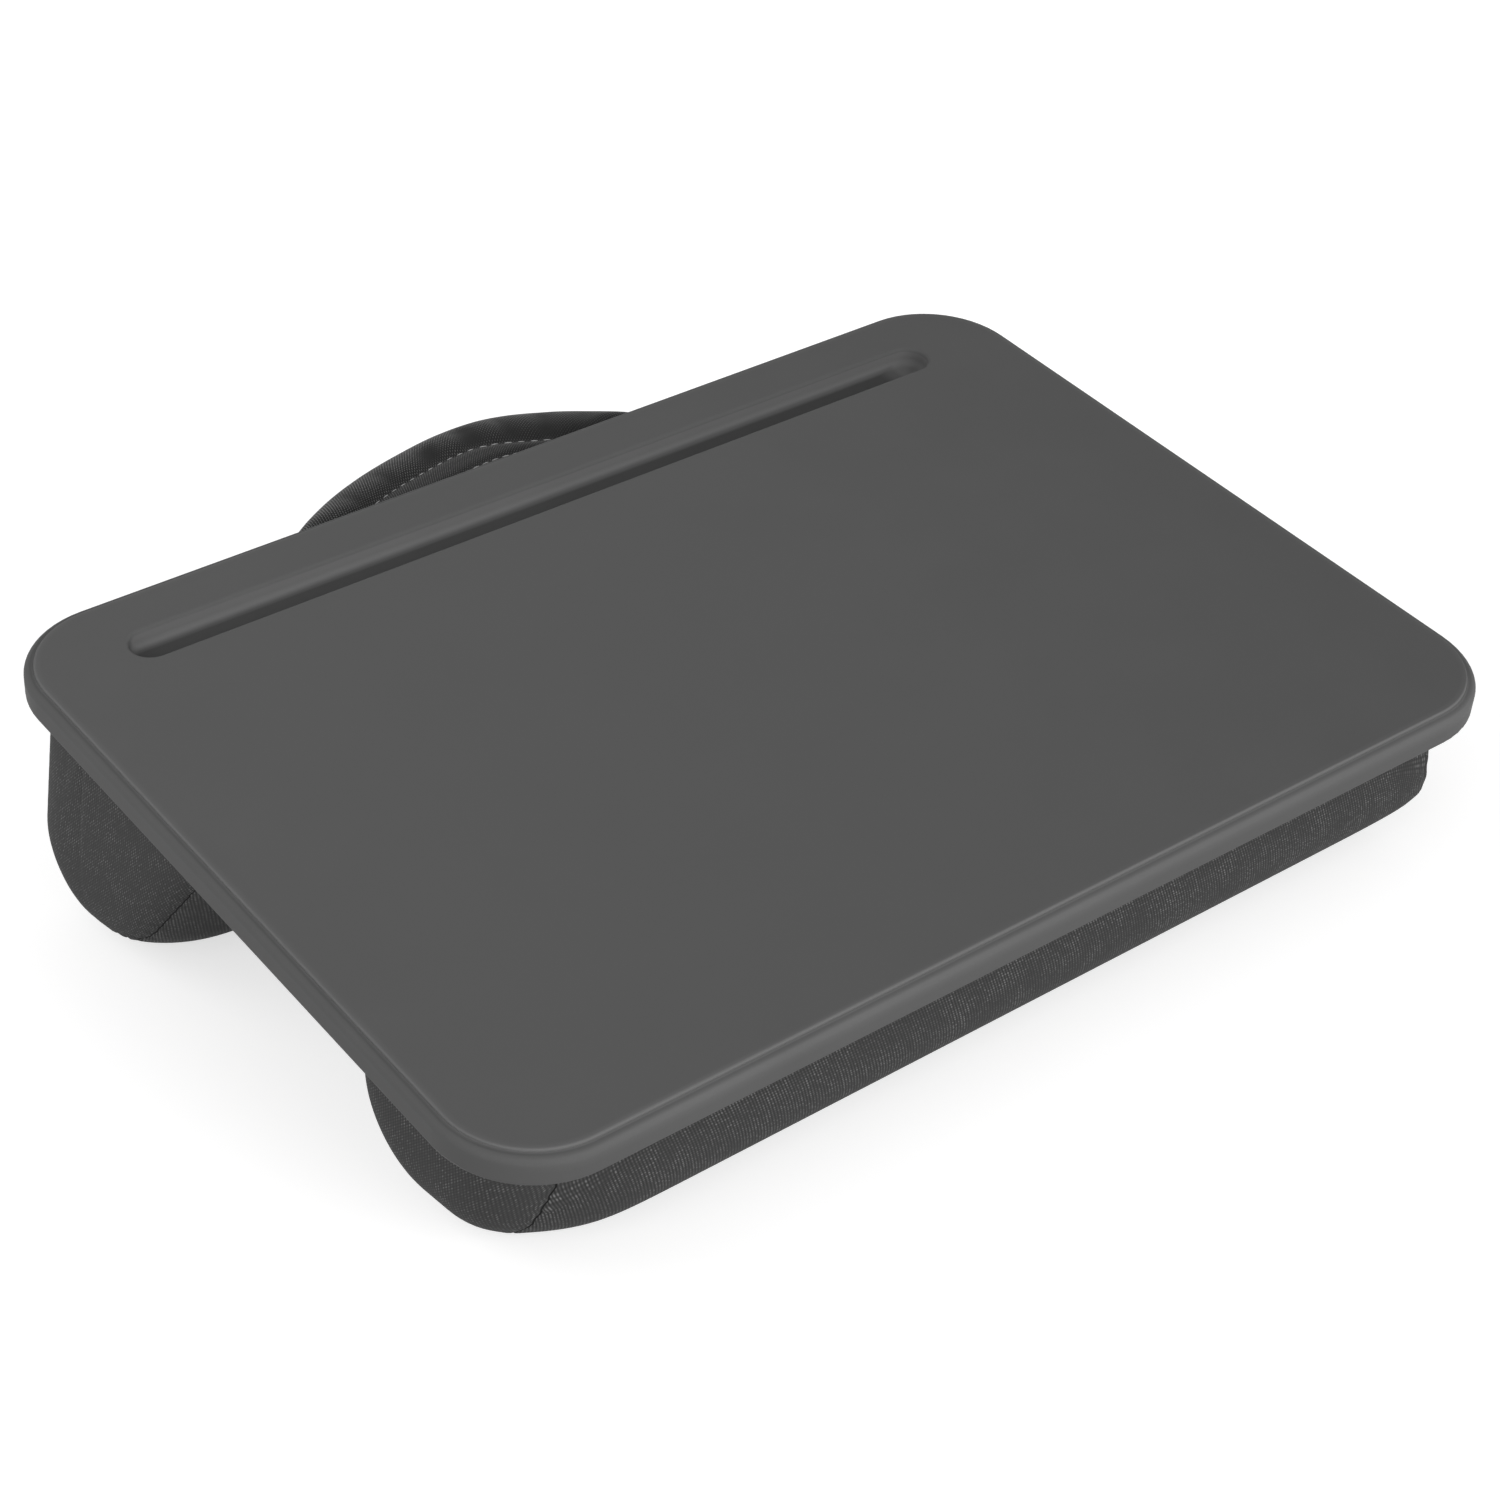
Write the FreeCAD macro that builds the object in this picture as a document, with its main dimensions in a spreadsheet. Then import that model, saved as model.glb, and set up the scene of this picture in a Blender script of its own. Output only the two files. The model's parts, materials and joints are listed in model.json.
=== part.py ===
# Lap tray: a foil-wrapped board on two fabric bolsters, with a padded carry handle at the back.
#
# Tray coordinates, in millimetres: X to the right, Y to the back, Z up from the writing surface, with the
# origin in the middle of that surface. The front bolster is lower than the back one, so the finished pieces
# are tilted about X and stood on the floor, Z = 0, with the whole object centred over the origin.
import FreeCAD, Part
import math
import os

import Sketcher

Vector = FreeCAD.Vector

# Driving dimensions: name, value, meaning. Lengths in millimetres, angles in degrees, shares of one.
SIZES = [
    ("tilt", 11.5, "slope of the writing surface, front edge low"),
    ("front_height", 44.33, "writing surface above the floor at the board's front edge"),
    ("board_width", 355.6, "board, left to right"),
    ("board_depth", 257.5, "board, front to back"),
    ("board_thickness", 10.0, "board with its foil"),
    ("corner_radius", 29.5, "board corners seen from above"),
    ("rim_width", 2.9, "edge band outside the crease"),
    ("rim_drop", 0.8, "step down from the writing surface at the crease"),
    ("shoulder_radius", 2.4, "rounding of the edge band"),
    ("crease_radius", 0.5, "rounding of the crease"),
    ("underside_radius", 1.5, "rounding of the lower edge"),
    ("foil_thickness", 0.4, "film over the core"),
    ("groove_from_back", 26.0, "back edge to the middle of the pen groove"),
    ("groove_end_margin", 31.8, "side edge to the end of the pen groove"),
    ("groove_width", 13.0, "pen groove across"),
    ("groove_depth", 6.0, "pen groove depth"),
    ("groove_lip_radius", 1.2, "rounding of the groove's rim"),
    ("groove_floor_radius", 2.5, "rounding at the groove's floor"),
    ("cloth_thickness", 0.8, "non-woven sheet under the board"),
    ("cloth_margin", 6.0, "board edge to the edge of that sheet"),
    ("cover_wall", 1.0, "cover fabric with its lining"),
    ("hem_width", 12.0, "hem turned in under the board"),
    ("fill_clearance", 0.25, "slack between cover and fill"),
    ("front_overhang", 4.8, "board edge past the front bolster"),
    ("front_bolster_top", 78.6, "front bolster, depth under the board"),
    ("front_bolster_lean_front", 13.5, "outward lean of its front side"),
    ("front_bolster_lean_back", 8.0, "outward lean of its back side"),
    ("front_bolster_bend_front", 0.306, "share of its floor width that the front side's rounding takes"),
    ("front_bolster_bend_back", 0.368, "share that the back side's rounding takes"),
    ("front_bolster_seam_lean_front", -25.0, "lean of the end seam's front side, inwards"),
    ("front_bolster_seam_lean_back", -2.0, "lean of the end seam's back side, inwards"),
    ("front_bolster_seam_bend_front", 0.223, "share at the end seam, front"),
    ("front_bolster_seam_bend_back", 0.553, "share at the end seam, back"),
    ("front_bolster_seam_lift", 2.0, "lowest point of the end seam above the floor"),
    ("front_bolster_end_overhang", 21.4, "board edge past the end seam"),
    ("front_bolster_end_bulge", 13.0, "crown of the end panel past its seam"),
    ("back_overhang", 16.2, "board edge past the back bolster"),
    ("back_bolster_top", 92.5, "back bolster, depth under the board"),
    ("back_bolster_lean_front", -29.5, "lean of its front side, inwards"),
    ("back_bolster_lean_back", 8.0, "outward lean of its back side"),
    ("back_bolster_bend_front", 0.332, "share of its floor width that the front side's rounding takes"),
    ("back_bolster_bend_back", 0.548, "share that the back side's rounding takes"),
    ("back_bolster_seam_lean_front", -37.4, "lean of the end seam's front side, inwards"),
    ("back_bolster_seam_lean_back", 9.9, "outward lean of the end seam's back side"),
    ("back_bolster_seam_bend_front", 0.249, "share at the end seam, front"),
    ("back_bolster_seam_bend_back", 0.574, "share at the end seam, back"),
    ("back_bolster_seam_lift", 5.4, "lowest point of the end seam above the floor"),
    ("back_bolster_end_overhang", 12.0, "board edge past the end seam"),
    ("back_bolster_end_bulge", 5.7, "crown of the end panel past its seam"),
    ("shoulder_length", 30.0, "stretch over which the bolsters draw in to the seams"),
    ("end_round", 15.5, "rounding of the end panels inside the seams"),
    ("web_clearance", 0.3, "gap from the centre strip to the bolsters"),
    ("web_end_margin", 26.0, "board edge to the ends of the centre strip"),
    ("handle_gap", 2.5, "back edge of the board to the line where the handle bends"),
    ("handle_rest_angle", -3.0, "handle against the board at rest, below its plane"),
    ("handle_reach", 33.0, "bend line to the outer edge of the handle"),
    ("handle_radius", 90.0, "outer edge of the handle's bow"),
    ("handle_width", 25.0, "handle across"),
    ("handle_thickness", 6.5, "padded handle"),
    ("handle_root_thickness", 2.6, "handle where it is sewn flat"),
    ("handle_taper", 9.0, "stretch over which the handle thickens"),
    ("handle_wall", 1.0, "fabric of the handle"),
    ("handle_clearance", 0.2, "slack round the handle's padding"),
    ("tab_thickness", 1.8, "flat end of the handle under the board"),
    ("tab_length", 45.0, "flat end of the handle, along its middle"),
    ("tab_clearance", 0.3, "gap round the flat ends"),
    ("bend_clearance", 0.8, "gap from the flat ends to the handle's root"),
    ("staple_crown", 10.0, "staple across"),
    ("staple_leg", 6.0, "staple height"),
    ("staple_wire", 0.6, "staple wire thickness"),
    ("staple_band", 1.0, "staple wire width"),
    ("staple_pitch", 46.0, "distance between staples along a hem"),
]
STAPLES_EACH_TAB = 2
SHOULDER_POWER = 3    # the bolsters keep their form, then draw in quickly near the seams
SPAN = 400.0      # longer than any piece, for cuts that run right through
TINY = 1e-4

doc = FreeCAD.newDocument("LapTray")
sheet = doc.addObject("Spreadsheet::Sheet", "Sizes")
for row, (alias, value, meaning) in enumerate(SIZES, start=1):
    sheet.set(f"A{row}", meaning)
    sheet.set(f"B{row}", str(value))
    sheet.setAlias(f"B{row}", alias)
doc.recompute()


def size(alias):
    return float(getattr(sheet, alias))


# Levels and places that several pieces share, in tray coordinates.
TILT = math.radians(size("tilt"))
FLOOR_ALONG = Vector(0, math.cos(TILT), -math.sin(TILT))
FLOOR_UP = Vector(0, math.sin(TILT), math.cos(TILT))
FRONT_EDGE = -size("board_depth") / 2
BACK_EDGE = size("board_depth") / 2
TOP_HEIGHT = size("front_height") - FRONT_EDGE * math.sin(TILT)
UNDERSIDE = -size("board_thickness")
DECK = UNDERSIDE - size("cloth_thickness")
HEM_UNDERSIDE = DECK - size("cover_wall")
TAB_UNDERSIDE = HEM_UNDERSIDE - size("tab_thickness")
FILL_DROP = DECK - TAB_UNDERSIDE + size("staple_wire") + size("fill_clearance")
HINGE = Vector(0, BACK_EDGE + size("handle_gap"), HEM_UNDERSIDE - size("tab_thickness") / 2)
HANDLE_SET_BACK = size("handle_radius") - size("handle_reach")
HANDLE_MIDDLE_RADIUS = size("handle_radius") - size("handle_width") / 2


def tray_placement():
    """Tilt the tray and stand it on the floor, centred front to back between board edge and handle."""
    shoulder = size("shoulder_radius")
    front = (FRONT_EDGE + shoulder) * math.cos(TILT) + (size("rim_drop") + shoulder) * math.sin(TILT) - shoulder
    edge = size("handle_thickness") / 2
    slope = TILT + math.radians(size("handle_rest_angle"))
    back = HINGE.y * math.cos(TILT) - HINGE.z * math.sin(TILT)
    back += (size("handle_reach") - edge) * math.cos(slope) + edge
    base = Vector(0, -(front + back) / 2, TOP_HEIGHT)
    return FreeCAD.Placement(base, FreeCAD.Rotation(Vector(1, 0, 0), size("tilt")))


TRAY = tray_placement()
HANDLE = TRAY.multiply(FreeCAD.Placement(HINGE, FreeCAD.Rotation(Vector(1, 0, 0), size("handle_rest_angle"))))
HANDLE = HANDLE.multiply(FreeCAD.Placement(Vector(0, -HANDLE_SET_BACK, 0), FreeCAD.Rotation()))


def origin_plane(body, role):
    return next(plane for plane in body.Origin.OriginFeatures if plane.Role == role)


def flat_sketch(body, name, level):
    """An empty sketch on the body's XY plane, at the height that the expression level gives."""
    sketch = body.newObject("Sketcher::SketchObject", name)
    sketch.AttachmentSupport = (origin_plane(body, "XY_Plane"), [""])
    sketch.MapMode = "FlatFace"
    sketch.setExpression("AttachmentOffset.Base.z", level)
    return sketch


def bind(sketch, label, constraint, expression):
    index = sketch.addConstraint(constraint)
    sketch.renameConstraint(index, label)
    sketch.setExpression("Constraints." + label, expression)


def rounded_rectangle(sketch, width, depth, radius, middle="0"):
    """A rectangle with round corners about the point (0, middle); the sizes are expressions."""
    half_x, half_y, r = 50.0, 40.0, 5.0
    inner_x, inner_y = half_x - r, half_y - r
    lines = [
        (Vector(-inner_x, -half_y, 0), Vector(inner_x, -half_y, 0)),
        (Vector(half_x, -inner_y, 0), Vector(half_x, inner_y, 0)),
        (Vector(inner_x, half_y, 0), Vector(-inner_x, half_y, 0)),
        (Vector(-half_x, inner_y, 0), Vector(-half_x, -inner_y, 0)),
    ]
    centres = [(inner_x, -inner_y), (inner_x, inner_y), (-inner_x, inner_y), (-inner_x, -inner_y)]
    for start, end in lines:
        sketch.addGeometry(Part.LineSegment(start, end))
    for turn, (x, y) in enumerate(centres):
        first = math.radians(-90 + 90 * turn)
        circle = Part.Circle(Vector(x, y, 0), Vector(0, 0, 1), r)
        sketch.addGeometry(Part.ArcOfCircle(circle, first, first + math.pi / 2))
    for turn in range(4):
        arc = 4 + turn
        sketch.addConstraint(Sketcher.Constraint("Tangent", turn, 2, arc, 1))
        sketch.addConstraint(Sketcher.Constraint("Tangent", arc, 2, (turn + 1) % 4, 1))
    for turn in range(3):
        sketch.addConstraint(Sketcher.Constraint("Equal", 4, 5 + turn))
    sketch.addConstraint(Sketcher.Constraint("Vertical", 1))
    sketch.addConstraint(Sketcher.Constraint("Horizontal", 2))
    sketch.addConstraint(Sketcher.Constraint("Vertical", 3))
    sketch.addConstraint(Sketcher.Constraint("Symmetric", 0, 1, 0, 2, -2))
    bind(sketch, "radius", Sketcher.Constraint("Radius", 4, r), radius)
    bind(sketch, "width", Sketcher.Constraint("DistanceX", 3, 1, 1, 2, 2 * half_x), width)
    bind(sketch, "depth", Sketcher.Constraint("DistanceY", 0, 1, 2, 1, 2 * half_y), depth)
    bind(sketch, "back", Sketcher.Constraint("DistanceY", -1, 1, 2, 1, half_y), f"({depth}) / 2 + ({middle})")


def slot(sketch, length, width, middle):
    """A slot with round ends along X, about the point (0, middle); the sizes are expressions."""
    half, r = 40.0, 5.0
    sketch.addGeometry(Part.LineSegment(Vector(-half, -r, 0), Vector(half, -r, 0)))
    sketch.addGeometry(Part.LineSegment(Vector(half, r, 0), Vector(-half, r, 0)))
    for x, first in ((half, -math.pi / 2), (-half, math.pi / 2)):
        circle = Part.Circle(Vector(x, 0, 0), Vector(0, 0, 1), r)
        sketch.addGeometry(Part.ArcOfCircle(circle, first, first + math.pi))
    for line, line_end, arc, arc_end in ((0, 2, 2, 1), (2, 2, 1, 1), (1, 2, 3, 1), (3, 2, 0, 1)):
        sketch.addConstraint(Sketcher.Constraint("Tangent", line, line_end, arc, arc_end))
    sketch.addConstraint(Sketcher.Constraint("Horizontal", 1))
    sketch.addConstraint(Sketcher.Constraint("Symmetric", 0, 1, 0, 2, -2))
    bind(sketch, "radius", Sketcher.Constraint("Radius", 2, r), f"({width}) / 2")
    bind(sketch, "centres", Sketcher.Constraint("DistanceX", 3, 3, 2, 3, 2 * half), f"({length}) - ({width})")
    bind(sketch, "middle", Sketcher.Constraint("DistanceY", -1, 1, 2, 3, r), middle)


def pad_down(body, name, sketch, depth):
    pad = body.newObject("PartDesign::Pad", name)
    pad.Profile = sketch
    pad.Reversed = True
    pad.setExpression("Length", depth)
    doc.recompute()
    return pad


def level_edges(feature, height):
    """Names of the edges that lie wholly in the plane Z = height."""
    names = []
    for number, edge in enumerate(feature.Shape.Edges, start=1):
        if all(abs(point.z - height) < TINY for point in edge.discretize(5)):
            names.append(f"Edge{number}")
    return names


def round_edges(body, name, feature, height, radius, keep=None):
    """Round the edges at a height; keep chooses among them by their bounding box."""
    names = level_edges(feature, height)
    if keep:
        names = [edge for edge in names if keep(feature.Shape.getElement(edge).BoundBox)]
    fillet = body.newObject("PartDesign::Fillet", name)
    fillet.Base = (feature, names)
    fillet.setExpression("Radius", radius)
    doc.recompute()
    return fillet


def board(name, skin):
    """The board inside a skin of the given thickness (an expression); its underside has no skin."""
    body = doc.addObject("PartDesign::Body", name)
    inset = float(sheet.evalExpression(skin)) if skin != "0" else 0.0
    slab_sketch = flat_sketch(body, name + "_outline", f"-Sizes.rim_drop - {skin}")
    rounded_rectangle(
        slab_sketch,
        f"Sizes.board_width - 2 * {skin}",
        f"Sizes.board_depth - 2 * {skin}",
        f"Sizes.corner_radius - {skin}",
    )
    slab = pad_down(body, name + "_slab", slab_sketch, f"Sizes.board_thickness - Sizes.rim_drop - {skin}")
    top = -size("rim_drop") - inset
    shoulder = round_edges(body, name + "_shoulder", slab, top, f"Sizes.shoulder_radius - {skin}")
    lower = round_edges(body, name + "_lower_edge", shoulder, UNDERSIDE, f"Sizes.underside_radius - {skin}")
    top_sketch = flat_sketch(body, name + "_top_outline", f"-{skin}")
    rounded_rectangle(
        top_sketch,
        f"Sizes.board_width - 2 * Sizes.rim_width - 2 * {skin}",
        f"Sizes.board_depth - 2 * Sizes.rim_width - 2 * {skin}",
        f"Sizes.corner_radius - Sizes.rim_width - {skin}",
    )
    raised = pad_down(body, name + "_top", top_sketch, "Sizes.rim_drop + Sizes.shoulder_radius")
    crease = round_edges(body, name + "_crease", raised, -inset, f"Sizes.crease_radius - {skin}")
    groove_sketch = flat_sketch(body, name + "_groove_outline", f"-{skin}")
    slot(
        groove_sketch,
        f"Sizes.board_width - 2 * Sizes.groove_end_margin + 2 * {skin}",
        f"Sizes.groove_width + 2 * {skin}",
        "Sizes.board_depth / 2 - Sizes.groove_from_back",
    )
    groove = body.newObject("PartDesign::Pocket", name + "_groove")
    groove.Profile = groove_sketch
    groove.setExpression("Length", "Sizes.groove_depth")
    doc.recompute()
    if groove.Shape.Volume > crease.Shape.Volume - TINY:
        raise RuntimeError("the pen groove cuts nothing")
    floor = round_edges(
        body, name + "_groove_floor", groove, -inset - size("groove_depth"), f"Sizes.groove_floor_radius + {skin}"
    )
    middle = BACK_EDGE - size("groove_from_back")
    reach = size("groove_width") / 2 + inset + TINY * 10

    def near_groove(box):
        return abs(box.YMin - middle) < reach and abs(box.YMax - middle) < reach

    round_edges(
        body, name + "_groove_lip", floor, -inset, f"Sizes.groove_lip_radius - {skin}", near_groove
    )
    body.Placement = TRAY
    return body


def plate(name, width, depth, radius, middle, level, thickness):
    """A flat sheet of fabric under the board; all sizes are expressions."""
    body = doc.addObject("PartDesign::Body", name)
    sketch = flat_sketch(body, name + "_outline", level)
    rounded_rectangle(sketch, width, depth, radius, middle)
    pad_down(body, name + "_sheet", sketch, thickness)
    body.Placement = TRAY
    return body


def feature(name, shape, placement):
    obj = doc.addObject("Part::Feature", name)
    obj.Shape = shape
    obj.Placement = placement
    return obj


def between(pair, share):
    return pair[0] + (pair[1] - pair[0]) * share


class Bolster:
    """One bolster: where it meets the board, how its sides come down and how it draws in to its end seams."""

    def __init__(self, name, front_top, back_top):
        self.top = {"front": front_top, "back": back_top}
        self.seam = size("board_width") / 2 - size(name + "_end_overhang")
        self.straight = self.seam - size("shoulder_length")
        self.bulge = size(name + "_end_bulge")
        self.lift = size(name + "_seam_lift")
        self.lean = {}
        self.bend = {}
        for side in self.top:
            self.lean[side] = (size(f"{name}_lean_{side}"), size(f"{name}_seam_lean_{side}"))
            self.bend[side] = (size(f"{name}_bend_{side}"), size(f"{name}_seam_bend_{side}"))

    def straight_side(self, side, draw):
        """Directions down one side and along the floor under it, and the point where the two lines meet.

        draw runs from 0, the form between the shoulders, to 1, the form of the end seam.
        """
        outward = -1 if side == "front" else 1
        lean = math.radians(between(self.lean[side], draw))
        down = Vector(0, outward * math.sin(lean), -math.cos(lean))
        top = Vector(0, self.top[side], DECK)
        floor_gap = top.dot(FLOOR_UP) + TOP_HEIGHT - self.lift * draw
        return down, FLOOR_ALONG * -outward, top - down * (floor_gap / down.dot(FLOOR_UP))

    def side(self, side, x, draw, inset, drop):
        """Top corner of one side, then start, middle and end of its rounding to the floor."""
        down, along_floor, corner = self.straight_side(side, draw)
        far_corner = self.straight_side("back" if side == "front" else "front", draw)[2]
        tangent = between(self.bend[side], draw) * corner.distanceToPoint(far_corner)
        outer_radius = tangent / math.tan(down.getAngle(along_floor) / 2)
        radius = outer_radius - inset
        centre = corner + along_floor * tangent + FLOOR_UP * outer_radius
        outward = (corner - down * tangent - centre).normalize()
        bend_start = centre + outward * radius
        bend_middle = centre + (outward - FLOOR_UP).normalize() * radius
        bend_end = centre - FLOOR_UP * radius
        start = bend_start + down * ((DECK - drop - bend_start.z) / down.z)
        if start.z < bend_start.z + TINY:
            raise RuntimeError(f"the {side} side has no room for its rounding")
        place = Vector(x, 0, 0)
        return start + place, bend_start + place, bend_middle + place, bend_end + place

    def section(self, x, draw, inset, drop):
        """Closed outline in the plane X = x, smaller by inset, with its flat top lowered by drop."""
        front_top, front_1, front_2, front_3 = self.side("front", x, draw, inset, drop)
        back_top, back_1, back_2, back_3 = self.side("back", x, draw, inset, drop)
        edges = [
            Part.LineSegment(front_top, front_1).toShape(),
            Part.Arc(front_1, front_2, front_3).toShape(),
            Part.LineSegment(front_3, back_3).toShape(),
            Part.Arc(back_3, back_2, back_1).toShape(),
            Part.LineSegment(back_1, back_top).toShape(),
            Part.LineSegment(back_top, front_top).toShape(),
        ]
        return Part.Wire(edges)

    def run(self, inset, drop, end):
        """The length between the end seams: straight in the middle, drawn in towards X = end."""
        face = Part.Face(self.section(-self.straight, 0, inset, drop))
        middle = face.extrude(Vector(2 * self.straight, 0, 0))
        wires = []
        for step in range(5):
            x = self.straight + (end - self.straight) * step / 4
            draw = ((x - self.straight) / size("shoulder_length")) ** SHOULDER_POWER
            wires.append(self.section(x, draw, inset, drop))
        right = Part.makeLoft(wires, True, False)
        left = right.mirror(Vector(), Vector(1, 0, 0))
        return middle.fuse([right, left]).removeSplitter()

    def crown(self, inset, drop, lead):
        """The right end panel's bulge past the seam, smaller by inset, from lead inside the seam."""
        wires = [self.section(self.seam - lead, 1, inset, drop)] if lead else []
        for angle in (0, 30, 60, 85):
            turn = math.radians(angle)
            x = self.seam + (self.bulge - inset) * math.sin(turn)
            wires.append(self.section(x, 1, inset + size("end_round") * (1 - math.cos(turn)), drop))
        return Part.makeLoft(wires, True, False)

    def wrap(self, tab_slots):
        """Cover panel round the bolster, open at the ends and between its two hems."""
        wall = size("cover_wall")
        cover = self.run(0, 0, self.seam).cut(self.run(wall, wall, self.seam + wall))
        depth = self.top["back"] - self.top["front"] - 2 * size("hem_width")
        window = Part.makeBox(SPAN, depth, 4 * wall)
        window.translate(Vector(-SPAN / 2, self.top["front"] + size("hem_width"), DECK - 2 * wall))
        return cover.cut([window] + tab_slots)

    def end(self):
        wall = size("cover_wall")
        return self.crown(0, 0, 0).cut(self.crown(wall, wall, wall))

    def fill(self):
        slack = size("cover_wall") + size("fill_clearance")
        right = self.crown(slack, FILL_DROP, 0)
        left = right.mirror(Vector(), Vector(1, 0, 0))
        return self.run(slack, FILL_DROP, self.seam).fuse([right, left]).removeSplitter()


def handle_ring(inset):
    """Half a ring of the handle's padded section, about the centre of its bow, smaller by inset."""
    edge = size("handle_thickness") / 2 - inset
    outer = size("handle_radius") - inset - edge
    inner = size("handle_radius") - size("handle_width") + inset + edge
    bevel = edge * math.sqrt(0.5)
    corners = {
        "outer": [Vector(0, outer, edge), Vector(0, outer + bevel, bevel), Vector(0, outer + edge, 0)],
        "outer_low": [Vector(0, outer + edge, 0), Vector(0, outer + bevel, -bevel), Vector(0, outer, -edge)],
        "inner_low": [Vector(0, inner, -edge), Vector(0, inner - bevel, -bevel), Vector(0, inner - edge, 0)],
        "inner": [Vector(0, inner - edge, 0), Vector(0, inner - bevel, bevel), Vector(0, inner, edge)],
    }
    edges = [Part.Arc(*points).toShape() for points in corners.values()]
    edges.append(Part.LineSegment(Vector(0, outer, -edge), Vector(0, inner, -edge)).toShape())
    edges.append(Part.LineSegment(Vector(0, inner, edge), Vector(0, outer, edge)).toShape())
    face = Part.Face(Part.Wire(Part.__sortEdges__(edges)))
    face.rotate(Vector(), Vector(0, 0, 1), -90)
    return face.revolve(Vector(), Vector(0, 0, 1), 180)


def handle_side_view():
    """What the handle keeps, seen from the side: a rolled root on the bend line that thickens outwards."""
    root = size("handle_root_thickness") / 2
    full = size("handle_thickness") / 2 + size("handle_wall")
    line = HANDLE_SET_BACK
    far = size("handle_radius") + size("handle_wall")
    thick = line + size("handle_taper")
    outline = [
        Vector(0, line, -root),
        Vector(0, thick, -full),
        Vector(0, far, -full),
        Vector(0, far, full),
        Vector(0, thick, full),
        Vector(0, line, root),
    ]
    edges = [Part.LineSegment(start, end).toShape() for start, end in zip(outline, outline[1:])]
    edges.append(Part.Arc(outline[-1], Vector(0, line - root, 0), outline[0]).toShape())
    side = Part.Face(Part.Wire(edges)).extrude(Vector(SPAN, 0, 0))
    side.translate(Vector(-SPAN / 2, 0, 0))
    return side


def handle_core(inset, start):
    """The inside of the sleeve, smaller by inset and beginning at start past the bend line."""
    keep = Part.makeBox(SPAN, SPAN, SPAN)
    keep.translate(Vector(-SPAN / 2, HANDLE_SET_BACK + start, -SPAN / 2))
    return handle_ring(inset).common(keep)


def handle_tab(grow):
    """Right flat end of the handle: it runs on from the bow, slanting out under the board."""
    middle_x = math.sqrt(HANDLE_MIDDLE_RADIUS**2 - HANDLE_SET_BACK**2)
    along = Vector(HANDLE_SET_BACK, -middle_x, 0) / HANDLE_MIDDLE_RADIUS
    across = Vector(middle_x, HANDLE_SET_BACK, 0) / HANDLE_MIDDLE_RADIUS
    middle = Vector(middle_x, HINGE.y, TAB_UNDERSIDE - grow)
    cut_y = HINGE.y - size("handle_root_thickness") / 2 - size("bend_clearance")
    corners = []
    for side in (1, -1):
        edge = middle + across * (side * (size("handle_width") / 2 + grow))
        corners.append(edge + along * ((cut_y - edge.y) / along.y))
        corners.append(edge + along * (size("tab_length") + grow))
    outline = Part.makePolygon([corners[0], corners[1], corners[3], corners[2], corners[0]])
    return Part.Face(outline).extrude(Vector(0, 0, size("tab_thickness") + grow))


def staple(place, level, turn=0):
    """A staple driven up from the given level, with its crown along X before it is turned."""
    half, wire, leg = size("staple_crown") / 2, size("staple_wire"), size("staple_leg")
    outline = [
        (-half, -wire),
        (half, -wire),
        (half, leg - wire),
        (half - wire, leg - wire),
        (half - wire, 0),
        (wire - half, 0),
        (wire - half, leg - wire),
        (-half, leg - wire),
    ]
    points = [Vector(x, 0, z) for x, z in outline]
    solid = Part.Face(Part.makePolygon(points + points[:1])).extrude(Vector(0, size("staple_band"), 0))
    solid.translate(Vector(0, -size("staple_band") / 2, 0))
    solid.rotate(Vector(), Vector(0, 0, 1), turn)
    solid.translate(Vector(place[0], place[1], level))
    return solid


def hem_staple_places(bolsters, tab):
    """Staples along the four long hems, clear of the handle's ends, and one in the middle of each end hem."""
    half_hem = size("hem_width") / 2
    places = []
    for bolster in bolsters:
        count = int(bolster.straight / size("staple_pitch"))
        for y in (bolster.top["front"] + half_hem, bolster.top["back"] - half_hem):
            for step in range(-count, count + 1):
                x = step * size("staple_pitch")
                spot = Part.Vertex(abs(x), y, HEM_UNDERSIDE)
                if spot.distToShape(tab)[0] > size("staple_crown"):
                    places.append((x, y, 0))
        middle = (bolster.top["front"] + bolster.top["back"]) / 2
        for side in (-1, 1):
            places.append((side * (bolster.seam + bolster.bulge / 2), middle, 90))
    return places


def handle_staple_places(tab, hem_y):
    """Staples in a row across each flat end of the handle, where it lies under the back hem."""
    strip = tab.common(Part.makeBox(SPAN, size("staple_band"), SPAN, Vector(0, hem_y, -SPAN / 2)))
    span = strip.BoundBox.XLength
    places = []
    for number in range(STAPLES_EACH_TAB):
        x = strip.BoundBox.XMin + span * (number + 0.5) / STAPLES_EACH_TAB
        places.extend([(x, hem_y, 0), (-x, hem_y, 0)])
    return places


# The board: the core, and the foil as what is left of the full board around it.
envelope = board("board_envelope", "0")
core = board("tray_core", "Sizes.foil_thickness")
foil = doc.addObject("Part::Cut", "tray_foil")
foil.Base = envelope
foil.Tool = core

# The two bolsters, placed from the board's edges.
front_start = FRONT_EDGE + size("front_overhang")
back_end = BACK_EDGE - size("back_overhang")
front_bolster = Bolster("front_bolster", front_start, front_start + size("front_bolster_top"))
back_bolster = Bolster("back_bolster", back_end - size("back_bolster_top"), back_end)
right_tab = handle_tab(0)
right_slot = handle_tab(size("tab_clearance"))
mirror_x = (Vector(), Vector(1, 0, 0))
tab_slots = [right_slot, right_slot.mirror(*mirror_x)]

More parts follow.
